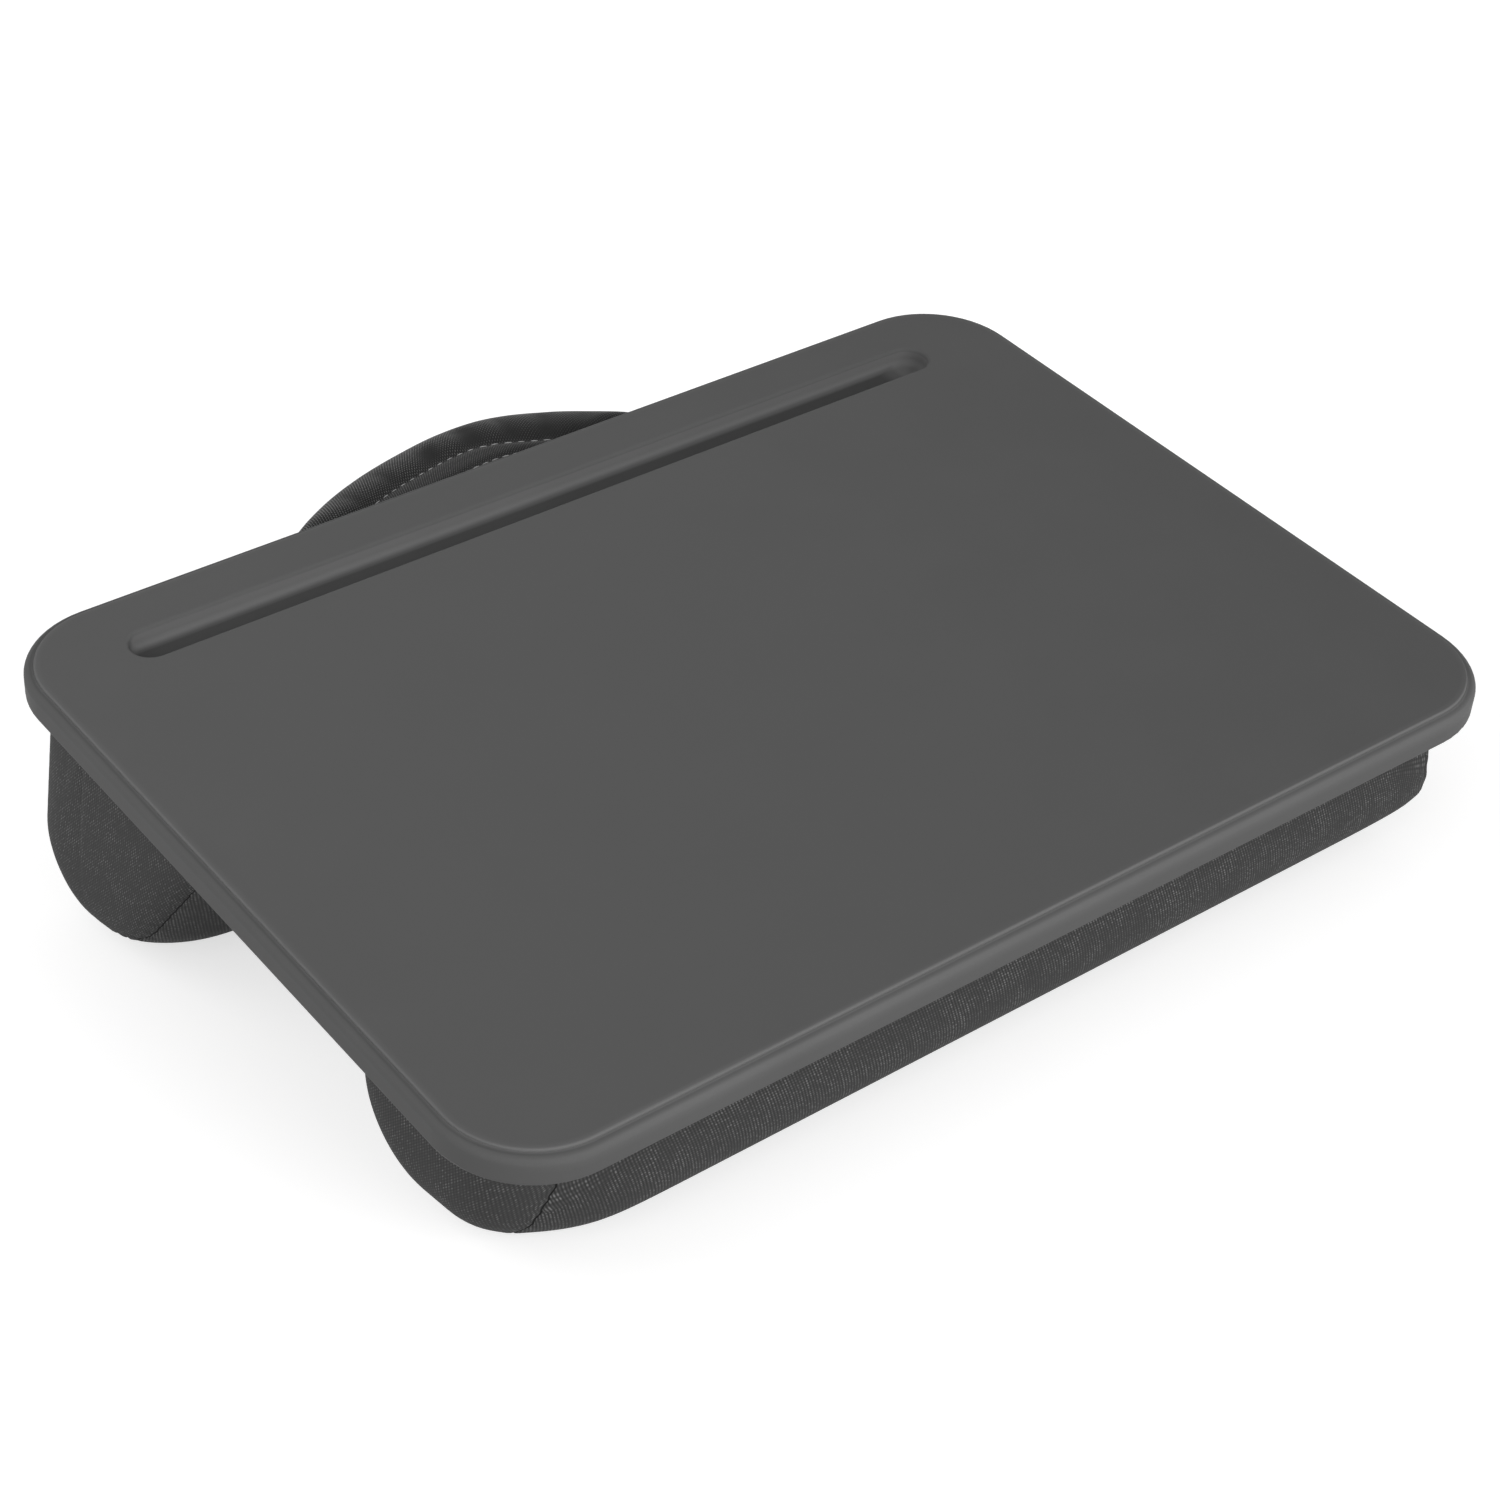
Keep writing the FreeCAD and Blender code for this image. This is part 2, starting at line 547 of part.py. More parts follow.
pieces = [core, foil]
pieces.append(
    plate(
        "backing_cloth",
        "Sizes.board_width - 2 * Sizes.cloth_margin",
        "Sizes.board_depth - 2 * Sizes.front_overhang",
        "Sizes.corner_radius - Sizes.front_overhang",
        "0",
        "-Sizes.board_thickness",
        "Sizes.cloth_thickness",
    )
)
web_front = "(Sizes.front_overhang + Sizes.front_bolster_top + Sizes.web_clearance - Sizes.board_depth / 2)"
web_back = "(Sizes.board_depth / 2 - Sizes.back_overhang - Sizes.back_bolster_top - Sizes.web_clearance)"
pieces.append(
    plate(
        "centre_web",
        "Sizes.board_width - 2 * Sizes.web_end_margin",
        f"{web_back} - {web_front}",
        "Sizes.cover_wall",
        f"({web_back} + {web_front}) / 2",
        "-Sizes.board_thickness - Sizes.cloth_thickness",
        "Sizes.cover_wall",
    )
)
for name, bolster, slots in (("front", front_bolster, []), ("back", back_bolster, tab_slots)):
    right_end = bolster.end()
    pieces.append(feature(name + "_wrap_panel", bolster.wrap(slots), TRAY))
    pieces.append(feature(name + "_left_end_panel", right_end.mirror(*mirror_x), TRAY))
    pieces.append(feature(name + "_right_end_panel", right_end, TRAY))
    pieces.append(feature(name + "_fill", bolster.fill(), TRAY))

# The handle: a sewn sleeve with its padding, and the flat ends that stay under the board.
wall = size("handle_wall")
slack = wall + size("handle_clearance")
cavity = handle_core(wall, size("handle_taper"))
sleeve = handle_ring(0).common(handle_side_view()).cut(cavity)
padding = handle_core(slack, size("handle_taper") + size("handle_clearance"))
pieces.append(feature("handle_sleeve", sleeve, HANDLE))
pieces.append(feature("handle_padding", padding, HANDLE))
pieces.append(feature("left_handle_tab", right_tab.mirror(*mirror_x), TRAY))
pieces.append(feature("right_handle_tab", right_tab, TRAY))

# The staples.
hem_spots = hem_staple_places((front_bolster, back_bolster), right_tab)
hem_staples = [staple(spot, HEM_UNDERSIDE, spot[2]) for spot in hem_spots]
handle_spots = handle_staple_places(right_tab, back_end - size("hem_width") / 2)
handle_staples = [staple(spot, TAB_UNDERSIDE) for spot in handle_spots]
pieces.append(feature("hem_staples", Part.makeCompound(hem_staples), TRAY))
pieces.append(feature("handle_staples", Part.makeCompound(handle_staples), TRAY))

doc.recompute()
for obj in doc.Objects:
    if "Invalid" in obj.State or "Error" in obj.State:
        raise RuntimeError(f"{obj.Label} failed: {obj.State}")
for piece in pieces:
    if piece.Shape.isNull() or not piece.Shape.isValid():
        raise RuntimeError(f"{piece.Label} has no valid shape")

os.makedirs("parts", exist_ok=True)
for piece in pieces:
    piece.Shape.exportStep(f"parts/{piece.Label}.step")
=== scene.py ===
import json
import math

import bpy
import numpy as np
from mathutils import Matrix, Vector


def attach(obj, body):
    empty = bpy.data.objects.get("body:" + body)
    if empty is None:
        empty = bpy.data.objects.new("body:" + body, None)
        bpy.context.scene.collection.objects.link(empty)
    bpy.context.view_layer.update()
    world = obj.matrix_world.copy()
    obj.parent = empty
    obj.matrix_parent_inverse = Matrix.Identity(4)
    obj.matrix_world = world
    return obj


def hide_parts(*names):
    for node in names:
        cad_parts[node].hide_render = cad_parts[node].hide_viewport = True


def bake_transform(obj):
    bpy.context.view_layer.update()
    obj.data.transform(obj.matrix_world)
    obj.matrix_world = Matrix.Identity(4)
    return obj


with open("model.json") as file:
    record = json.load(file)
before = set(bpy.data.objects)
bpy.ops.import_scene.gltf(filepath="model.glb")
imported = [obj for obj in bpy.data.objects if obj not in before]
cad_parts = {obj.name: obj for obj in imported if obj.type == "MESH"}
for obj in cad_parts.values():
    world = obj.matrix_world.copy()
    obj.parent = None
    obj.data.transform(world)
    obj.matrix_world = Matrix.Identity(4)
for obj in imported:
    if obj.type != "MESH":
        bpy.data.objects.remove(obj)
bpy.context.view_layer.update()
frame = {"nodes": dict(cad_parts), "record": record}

# Lengths named below are in millimetres; times MM they are in metres, as in the frame and in Blender.
MM = 0.001
NODES = frame["nodes"]

# The tray's own frame: x to the right, v to the back, w up from the writing surface.
SURFACE = next(m for m in frame["record"]["mounts"] if m["name"] == "work_surface")
TRAY_ORIGIN = np.array(SURFACE["pos_m"])  # metres
TILT = math.atan2(-SURFACE["axis"][1], SURFACE["axis"][2])
COS_TILT, SIN_TILT = math.cos(TILT), math.sin(TILT)
TOP_HEIGHT = TRAY_ORIGIN[2] / MM
FLOOR_ALONG = np.array([COS_TILT, -SIN_TILT])
FLOOR_UP = np.array([SIN_TILT, COS_TILT])

# The board, as in the CAD source.
BOARD_WIDTH, BOARD_DEPTH, BOARD_CORNER = 355.6, 257.5, 29.5
BOARD_THICKNESS, BACKING_THICKNESS = 10.0, 0.8
LEFT_EDGE, FRONT_EDGE = -BOARD_WIDTH / 2, -BOARD_DEPTH / 2
DECK = -(BOARD_THICKNESS + BACKING_THICKNESS)  # underside of the backing cloth
CREASE = 2.9  # in from the board's edge
GROOVE_BACK, GROOVE_RIGHT = 109.25, 146.0  # back wall and right end of the pen groove


def to_world(points):
    """Tray millimetres to world metres."""
    points = np.asarray(points, float) * MM
    x, v, w = points[..., 0], points[..., 1], points[..., 2]
    turned = np.stack([x, v * COS_TILT - w * SIN_TILT, v * SIN_TILT + w * COS_TILT], -1)
    return turned + TRAY_ORIGIN


def to_tray(points):
    """World metres to tray millimetres."""
    moved = np.asarray(points, float) - TRAY_ORIGIN
    x, y, z = moved[..., 0], moved[..., 1], moved[..., 2]
    return np.stack([x, y * COS_TILT + z * SIN_TILT, z * COS_TILT - y * SIN_TILT], -1) / MM


def smooth(value, low, high):
    """From 0 at low to 1 at high, level at both ends."""
    t = np.clip((value - low) / (high - low), 0, 1)
    return t * t * (3 - 2 * t)


def bell(value, width):
    """1 at zero, falling off on both sides over about the width."""
    return np.exp(-(value / width) ** 2)


def mix(low, high, share):
    return low + (high - low) * share


# Camera

# Its place in the tray's frame, and the directions to the picture's right, down and into it.
LENS, SENSOR = 77.614, 36.0
NEAREST = 10.0
CAMERA_PLACE = Vector((-477.24, -559.83, 557.75))
PICTURE_RIGHT = Vector((0.79051, -0.60975, 0.05751))
PICTURE_DOWN = Vector((-0.34742, -0.52376, -0.7778))
PICTURE_INTO = Vector((0.50438, 0.59488, -0.62587))


def make_camera():
    data = bpy.data.cameras.new("Camera")
    data.sensor_width = SENSOR
    data.lens = LENS
    data.clip_start = NEAREST * MM
    camera = bpy.data.objects.new("Camera", data)
    bpy.context.scene.collection.objects.link(camera)
    turn = Matrix((PICTURE_RIGHT, -PICTURE_DOWN, -PICTURE_INTO)).transposed().to_4x4()
    tray = Matrix.Translation(TRAY_ORIGIN) @ Matrix.Rotation(TILT, 4, "X")
    camera.matrix_world = tray @ Matrix.Translation(CAMERA_PLACE * MM) @ turn
    bpy.context.scene.camera = camera


# Materials

class Finish:
    """A procedural material: one shader and the nodes that feed it."""

    def __init__(self, name, colour, roughness, **sockets):
        self.material = bpy.data.materials.new(name)
        self.material.use_nodes = True
        self.tree = self.material.node_tree
        self.shader = self.tree.nodes["Principled BSDF"]
        self.shader.inputs["Base Color"].default_value = (*colour, 1.0)
        self.shader.inputs["Roughness"].default_value = roughness
        for socket, value in sockets.items():
            self.shader.inputs[socket.replace("_", " ")].default_value = value

    def node(self, kind, settings=(), **inputs):
        node = self.tree.nodes.new(kind)
        for key, value in dict(settings).items():
            setattr(node, key, value)
        for key, value in inputs.items():
            self.feed(node.inputs[key], value)
        return node

    def feed(self, socket, value):
        if isinstance(value, bpy.types.NodeSocket):
            self.tree.links.new(value, socket)
        else:
            socket.default_value = value

    def math(self, operation, *values):
        node = self.node("ShaderNodeMath", {"operation": operation})
        for socket, value in zip(node.inputs, values):
            self.feed(socket, value)
        return node.outputs[0]

    def times(self, first, second):
        return self.math("MULTIPLY", first, second)

    def added(self, tone, mask, amount):
        """Tone with the amount added where the mask is 1."""
        return self.math("MULTIPLY_ADD", mask, amount, tone)

    def wave(self, place, period):
        """From 1 to 0 and back over each period."""
        turns = self.times(place, 2 * math.pi / (period * MM))
        return self.math("MULTIPLY_ADD", self.math("COSINE", turns), 0.5, 0.5)

    def axes(self, attribute=None):
        """The three coordinates, in metres: the object's own, or those kept in a mesh attribute."""
        if attribute:
            vector = self.node("ShaderNodeAttribute", {"attribute_name": attribute}).outputs["Vector"]
        else:
            vector = self.node("ShaderNodeTexCoord").outputs["Object"]
        parts = self.node("ShaderNodeSeparateXYZ", Vector=vector)
        return vector, parts.outputs

    def noise(self, vector, size, detail=2.0, roughness=0.5):
        """Soft noise whose spots are about the given size across."""
        scale = 1 / (size * MM)
        node = self.node("ShaderNodeTexNoise", Vector=vector, Scale=scale, Detail=detail, Roughness=roughness)
        return node.outputs[0]

    def ranged(self, value, low, high, first, last):
        """Value from low to high made to run from first to last, and held there beyond."""
        node = self.node("ShaderNodeMapRange", Value=value)
        for socket, number in zip(("From Min", "From Max", "To Min", "To Max"), (low, high, first, last)):
            node.inputs[socket].default_value = number
        return node.outputs[0]

    def over(self, place, low, high, first, last):
        """The same for a coordinate, between two places in millimetres."""
        return self.ranged(place, low * MM, high * MM, first, last)

    def shades(self, share, *stops):
        """Colours between stops of (place, grey or colour)."""
        ramp = self.node("ShaderNodeValToRGB", Fac=share)
        points = ramp.color_ramp.elements
        while len(points) < len(stops):
            points.new(0.5)
        for point, (place, colour) in zip(points, stops):
            point.position = place
            grey = (colour, colour, colour) if isinstance(colour, float) else colour
            point.color = (*grey, 1.0)
        return ramp.outputs["Color"]

    def colour(self, socket):
        self.feed(self.shader.inputs["Base Color"], socket)

    def rough(self, share, low, high):
        self.feed(self.shader.inputs["Roughness"], self.ranged(share, 0.0, 1.0, low, high))

    def bump(self, height, distance, strength=1.0):
        node = self.node("ShaderNodeBump", Height=height, Distance=distance * MM, Strength=strength)
        self.feed(self.shader.inputs["Normal"], node.outputs[0])


# Painted light lines along the board's edge: in from the edge, half width, tone along the sides, tone along
# the front.
PAINTED_EDGE_LINES = (
    (CREASE, 0.8, 0.34, 0.9),  # painted highlight on the lip of the writing surface
    (CREASE + 0.6, 1.6, 0.1, 0.3),  # softer painted highlight inside it
    (CREASE - 0.9, 0.7, -0.25, 0.16),  # painted shade at the foot of the step outside it
)
SHOULDER_HIGHLIGHT_TONES = (0.12, 0.34)  # painted highlight on the rounded edge, along the sides and along the front
SURFACE_LIGHT_FALLOFF = (0.1, -0.22)  # painted light on the writing surface: paler at the left, darker at the right
GROOVE_SHADE_AND_HIGHLIGHT = (-0.35, 0.5)  # painted shade on the floor of the pen groove, and painted highlight on its back wall and right end


def board_places(finish, parts):
    """Metres to the back of the board's middle, up from its surface, and in from its edge."""
    rise = finish.math("SUBTRACT", parts[2], TRAY_ORIGIN[2])
    run = finish.math("SUBTRACT", parts[1], TRAY_ORIGIN[1])
    along = finish.math("MULTIPLY_ADD", run, COS_TILT, finish.times(rise, SIN_TILT))
    height = finish.math("MULTIPLY_ADD", rise, COS_TILT, finish.times(run, -SIN_TILT))
    sides = []
    for place, half in ((parts[0], BOARD_WIDTH / 2), (along, BOARD_DEPTH / 2)):
        sides.append(finish.math("SUBTRACT", finish.math("ABSOLUTE", place), (half - BOARD_CORNER) * MM))
    beyond = [finish.math("POWER", finish.math("MAXIMUM", side, 0.0), 2.0) for side in sides]
    rounded = finish.math("SQRT", finish.math("ADD", *beyond))
    straight = finish.math("MINIMUM", finish.math("MAXIMUM", *sides), 0.0)
    inside = finish.math("SUBTRACT", BOARD_CORNER * MM, finish.math("ADD", rounded, straight))
    return along, height, inside


def edge_light_tone(finish, tone, x, along, height, inside):
    """Tone with painted highlights on the lip and the rounded edge, and painted shade at the foot of the step
    beside the lip; all are palest along the front.
    """
    front = finish.over(along, FRONT_EDGE + 0.25, FRONT_EDGE + 13.75, 1.0, 0.0)
    front = finish.times(front, finish.over(x, LEFT_EDGE + 12.8, LEFT_EDGE + 47.8, 0.35, 1.0))
    upper = finish.over(height, -3.0, -2.0, 0.0, 1.0)
    for distance, half_width, side_tone, front_tone in PAINTED_EDGE_LINES:
        apart = finish.math("ABSOLUTE", finish.math("SUBTRACT", inside, distance * MM))
        line = finish.times(finish.over(apart, 0.0, half_width, 1.0, 0.0), upper)
        tone = finish.added(tone, line, finish.ranged(front, 0.0, 1.0, side_tone, front_tone))
    # Painted highlight on the rounded edge below the lip.
    shoulder = finish.over(height, -5.5, -2.5, 0.55, 1.0)
    shoulder = finish.times(shoulder, finish.over(inside, 0.8, 1.8, 1.0, 0.0))
    return finish.added(tone, shoulder, finish.ranged(front, 0.0, 1.0, *SHOULDER_HIGHLIGHT_TONES))


def groove_light_tone(finish, tone, x, along, height, inside):
    """Tone with painted shade on the pen groove's floor and a painted highlight on its back wall and right
    end.
    """
    below = finish.over(height, -1.5, -0.6, 1.0, 0.0)
    sunk = finish.times(below, finish.over(inside, 12.0, 14.0, 0.0, 1.0))
    back = finish.over(along, GROOVE_BACK - 2.65, GROOVE_BACK - 0.45, 0.0, 1.0)
    right = finish.over(x, GROOVE_RIGHT - 15.0, GROOVE_RIGHT - 6.0, 0.0, 1.15)
    wall = finish.math("MAXIMUM", back, right)
    return finish.added(tone, sunk, finish.ranged(wall, 0.0, 1.0, *GROOVE_SHADE_AND_HIGHLIGHT))


def foil_finish():
    """Matt grey film: nearly even, with a very fine grain, a painted highlight along the lip at the crease,
    and painted light and shade along its edges, across its surface and in the pen groove.
    """
    finish = Finish("foil", (0.089, 0.089, 0.09), 0.56, Specular_IOR_Level=0.06)
    vector, parts = finish.axes()
    grain = finish.noise(vector, 0.35, 3.0, 0.6)
    cloud = finish.noise(vector, 30.0, 2.0)
    along, height, inside = board_places(finish, parts)
    tone = finish.math("MULTIPLY_ADD", grain, 0.1, finish.math("MULTIPLY_ADD", cloud, 0.12, 0.39))
    tone = edge_light_tone(finish, tone, parts[0], along, height, inside)
    # Painted light falloff across the writing surface, darker towards the right.
    surface = finish.over(inside, 2.0, 3.5, 0.0, 1.0)
    tone = finish.added(tone, surface, finish.over(parts[0], -170.0, 170.0, *SURFACE_LIGHT_FALLOFF))
    tone = groove_light_tone(finish, tone, parts[0], along, height, inside)
    finish.colour(finish.shades(tone, (0.0, 0.059), (0.4, 0.092), (0.6, 0.1), (1.0, 0.152)))
    finish.rough(cloud, 0.52, 0.6)
    finish.bump(grain, 0.04, 0.5)
    return finish.material


def core_finish():
    """Pressed wood fibre."""
    finish = Finish("fibreboard", (0.42, 0.3, 0.19), 0.85)
    vector, _ = finish.axes()
    fibres = finish.noise(vector, 0.6, 5.0, 0.7)
    finish.colour(finish.shades(fibres, (0.3, (0.3, 0.2, 0.12)), (0.7, (0.5, 0.37, 0.24))))
    finish.bump(fibres, 0.1, 0.6)
    return finish.material


def backing_finish():
    """Black spun-bonded sheet, with its grid of small welded dots."""
    finish = Finish("backing", (0.03, 0.03, 0.03), 0.9)
    vector, parts = finish.axes()
    dots = finish.times(finish.wave(parts[0], 1.2), finish.wave(parts[1], 1.2))
    fibres = finish.noise(vector, 1.2, 4.0, 0.65)
    tone = finish.added(fibres, dots, -0.3)
    finish.colour(finish.shades(tone, (0.25, 0.016), (0.7, 0.05)))
    finish.bump(tone, 0.12, 0.7)
    return finish.material


# Cover cloth. In patches, and beside the seams, the cloth is fresh: its yarns stand out more.
WRAP_CLOTH = {
    "colour": (0.066, 0.066, 0.067),
    "roughness": 0.85,
    "specular": 0.25,
    "pitch": 0.95,  # between the ribs
    "step": 0.85,  # between the rows of yarn across them
    "lean": 0.3,  # of the ribs, sideways for each length down
    "slope": 0.0,  # of the rows, down for each length sideways
    "patch": 11.0,  # size of the patches
    "ribs": (0.24, 0.15),  # tone of the ribs where it is fresh, and everywhere
    "tops": 0.1,  # tone of the yarn tops
    "level": (-0.13, 0.085),  # evens out the brightness of the patches
    "shades": ((0.0, 0.026), (0.3, 0.047), (1.0, 0.19)),
    "bump": (0.16, 0.7),
}
END_CLOTH = {
    "colour": (0.062, 0.062, 0.063),
    "roughness": 0.87,
    "specular": 0.22,
    "pitch": 1.19,
    "step": 1.07,
    "lean": 0.0,
    "slope": 1.07,
    "patch": 10.0,
    "ribs": (0.13, 0.1),
    "tops": 0.14,
    "level": (-0.09, 0.06),
    "shades": ((0.0, 0.033), (0.3, 0.055), (1.0, 0.17)),
    "bump": (0.14, 0.6),
}
SPECK_TONE = 0.85


def woven(finish, cloth):
    """Ribs, the yarn tops in rows across them, each with a brightness of its own, and the fresh patches."""
    vector, parts = finish.axes("weave")
    pitch, step = cloth["pitch"] * MM, cloth["step"] * MM
    wander = finish.added(parts[0], finish.noise(vector, 14.0, 1.0), 0.6 * pitch)
    across = finish.added(wander, parts[1], -cloth["lean"])
    down = finish.added(parts[1], parts[0], cloth["slope"])
    ribs, tops = finish.wave(across, cloth["pitch"]), finish.wave(down, cloth["step"])
    rib = finish.math("ROUND", finish.math("DIVIDE", across, pitch))
    row = finish.math("ROUND", finish.math("DIVIDE", down, step))
    yarn = finish.node("ShaderNodeCombineXYZ", X=rib, Y=row).outputs[0]
    dice = finish.node("ShaderNodeTexWhiteNoise", {"noise_dimensions": "2D"}, Vector=yarn)
    patches = finish.ranged(finish.noise(vector, cloth["patch"], 2.0, 0.55), 0.38, 0.62, 0.3, 1.0)
    gathered = finish.over(parts[2], 2.0, 10.0, 1.0, 0.0)
    fresh = finish.math("MAXIMUM", patches, gathered)
    lit = finish.times(finish.math("POWER", dice.outputs["Value"], 1.6), fresh)
    specks = finish.times(finish.times(ribs, tops), lit)
    return ribs, tops, specks, fresh


def cover_finish(name, cloth):
    """Cover of the bolsters: fine ribs, with lighter specks where the yarns rise."""
    finish = Finish(name, cloth["colour"], cloth["roughness"], Specular_IOR_Level=cloth["specular"])
    ribs, tops, specks, fresh = woven(finish, cloth)
    relief = finish.times(ribs, finish.math("MULTIPLY_ADD", fresh, *cloth["ribs"]))
    relief = finish.added(relief, tops, cloth["tops"])
    relief = finish.math("ADD", relief, finish.math("MULTIPLY_ADD", fresh, *cloth["level"]))
    tone = finish.added(relief, specks, SPECK_TONE)
    finish.colour(finish.shades(tone, *cloth["shades"]))
    finish.bump(tone, *cloth["bump"])
    return finish.material


def seam_finish():
    """The folded cloth and thread down in a seam."""
    finish = Finish("seam", (0.014, 0.014, 0.014), 0.95, Specular_IOR_Level=0.1)
    vector, _ = finish.axes()
    finish.colour(finish.shades(finish.noise(vector, 0.6, 2.0), (0.3, 0.008), (0.7, 0.022)))
    return finish.material


def twill_finish():
    """Handle cloth: a diagonal twill, with painted light that makes it paler at the outer edge and the left
    end, and painted shade that makes it dark in its folds.
    """
    finish = Finish("handle_twill", (0.045, 0.045, 0.046), 0.8, Specular_IOR_Level=0.3, Sheen_Weight=0.18)
    finish.shader.inputs["Sheen Roughness"].default_value = 0.4
    vector, parts = finish.axes("weave")
    drift = finish.added(parts[0], finish.noise(vector, 7.0, 2.0), 0.6 * MM)
    lines = finish.wave(finish.added(drift, parts[1], 0.9), 1.05)
    cross = finish.wave(finish.added(parts[0], parts[1], -0.45), 0.8)
    uneven = finish.math("ADD", finish.noise(vector, 1.2, 2.0, 0.6), 0.3)
    dots = finish.times(finish.times(lines, cross), uneven)
    tone = finish.added(finish.times(lines, 0.2), dots, 0.8)
    # Painted light: paler towards the outer edge and the left end of the bow.
    painted_light = finish.times(
        finish.over(parts[1], 1.5, 12.5, 1.3, 0.85),
        finish.over(parts[0], -10.0, 50.0, 1.0, 0.58),
    )
    # Painted shade in the folds of the strap.
    fold_shade = finish.ranged(parts[2], 0.0, 0.9, 1.0, 0.15)
    tone = finish.times(tone, finish.times(painted_light, fold_shade))
    finish.colour(finish.shades(tone, (0.05, 0.004), (0.4, 0.023), (0.85, 0.185)))
    finish.bump(tone, 0.2, 0.8)
    return finish.material


def thread_finish():
    """Light grey sewing thread, with its twist."""
    finish = Finish("thread", (0.42, 0.42, 0.42), 0.7)
    _, parts = finish.axes()
    twist = finish.wave(finish.math("ADD", parts[0], parts[1]), 0.35)
    finish.colour(finish.shades(twist, (0.0, 0.3), (1.0, 0.5)))
    return finish.material


def steel_finish():
    """Drawn wire, faintly streaked."""
    finish = Finish("staple_wire", (0.55, 0.55, 0.55), 0.35, Metallic=1.0)
    vector, _ = finish.axes()
    streaks = finish.noise(vector, 0.4, 3.0)
    finish.colour(finish.shades(streaks, (0.3, 0.45), (0.7, 0.62)))
    finish.rough(streaks, 0.28, 0.45)
    return finish.material


def dress(node, material):
    """Give a carried-over CAD node its material."""
    mesh = NODES[node].data
    mesh.materials.clear()
    mesh.materials.append(material)


# Meshes

def mesh_object(name, points, faces, materials, face_material=None, weave=None):
    """An object from points in world metres; weave keeps each point's place on its flat cloth."""
    mesh = bpy.data.meshes.new(name)
    mesh.from_pydata([tuple(p) for p in points], [], [tuple(f) for f in faces])
    for material in materials:
        mesh.materials.append(material)
    if face_material is not None:
        mesh.polygons.foreach_set("material_index", np.asarray(face_material, np.int32))
    mesh.polygons.foreach_set("use_smooth", np.ones(len(mesh.polygons), bool))
    if weave is not None:
        layer = mesh.attributes.new("weave", "FLOAT_VECTOR", "POINT")
        layer.data.foreach_set("vector", np.asarray(weave, np.float32).ravel())
    mesh.update()
    thing = bpy.data.objects.new(name, mesh)
    bpy.context.scene.collection.objects.link(thing)
    return thing


def tube_faces(rows, ring):
    """Faces of a grid of rows that closes on itself round each row, outwards, with a fan at each end."""
    faces = []
    for i in range(rows - 1):
        for j in range(ring):
            k = (j + 1) % ring
            faces.append((i * ring + j, i * ring + k, (i + 1) * ring + k, (i + 1) * ring + j))
    first, last = rows * ring, rows * ring + 1
    for j in range(ring):
        k = (j + 1) % ring
        faces.append((first, k, j))
        faces.append((last, (rows - 1) * ring + j, (rows - 1) * ring + k))
    return faces


def spline_weights(places, count, closed):
    """Matrix that reads a row of count points at fractional places, by smooth interpolation."""
    weights = np.zeros((len(places), count))
    for row, place in enumerate(places):
        cell = int(math.floor(place))
        if not closed:
            cell = min(max(cell, 0), count - 2)
        t = place - cell
        shares = (
            (-t + 2 * t * t - t ** 3) / 2,
            (2 - 5 * t * t + 3 * t ** 3) / 2,
            (t + 4 * t * t - 3 * t ** 3) / 2,
            (t ** 3 - t * t) / 2,
        )
        for step, share in enumerate(shares):
            index = cell - 1 + step
            index = index % count if closed else min(max(index, 0), count - 1)
            weights[row, index] += share
    return weights


def evened(grid):
    """Each row of a grid averaged with its neighbours; the first and last stay."""
    even = grid.copy()
    even[1:-1] = (grid[:-2] + 2 * grid[1:-1] + grid[2:]) / 4
    return even


def grid_normals(grid):
    """Outward unit normals of a grid whose rows close on themselves."""
    along = np.gradient(grid, axis=0)
    around = np.roll(grid, -1, 1) - np.roll(grid, 1, 1)
    normal = np.cross(around, along)
    return normal / np.maximum(np.linalg.norm(normal, axis=-1, keepdims=True), 1e-12)


# Bolsters

# Pairs are for the front side and the back side. A section's sides start at top, lean outwards by an angle
# in degrees, and turn to the floor in a bend, which takes a share of the floor's width. Each end gives the
# same at its seam, which lies at a distance from the middle and is lifted off the floor, and the bulge and
# rounding of its panel. The pair seam_shift moves the seam outwards by rows of the grid, at its top and foot.
SHOULDER_LENGTH = 30.0  # stretch over which a bolster draws in to its end seam
SHOULDER_POWER = 3
BACK_END = {
    "lean": (-35.6, 11.7),
    "bend": (0.357, 0.575),
    "lift": 3.63,
    "seam": 165.8,
    "seam_shift": (0.35, 0.9),
    "bulge": 5.7,
    "round": 15.4,
}
BOLSTERS = {
    "front": {
        "top": (-123.95, -45.35),
        "lean": (13.5, 8.0),
        "bend": (0.306, 0.368),
        "left": {
            "lean": (-22.0, 3.4),
            "bend": (0.235, 0.6),
            "lift": 0.0,
            "seam": 156.4,
            "seam_shift": (0.0, 0.7),
            "bulge": 15.0,
            "round": 17.4,
        },
        "right": {
            "lean": (7.3, 8.6),
            "bend": (0.134, 0.553),
            "lift": 8.4,
            "seam": 150.0,
            "seam_shift": (0.0, 0.5),
            "bulge": 3.1,
            "round": 15.0,
        },
    },
    "back": {
        "top": (20.05, 112.55),
        "lean": (-29.5, 8.0),
        "bend": (0.332, 0.548),
        "left": BACK_END,
        "right": BACK_END,
    },
}

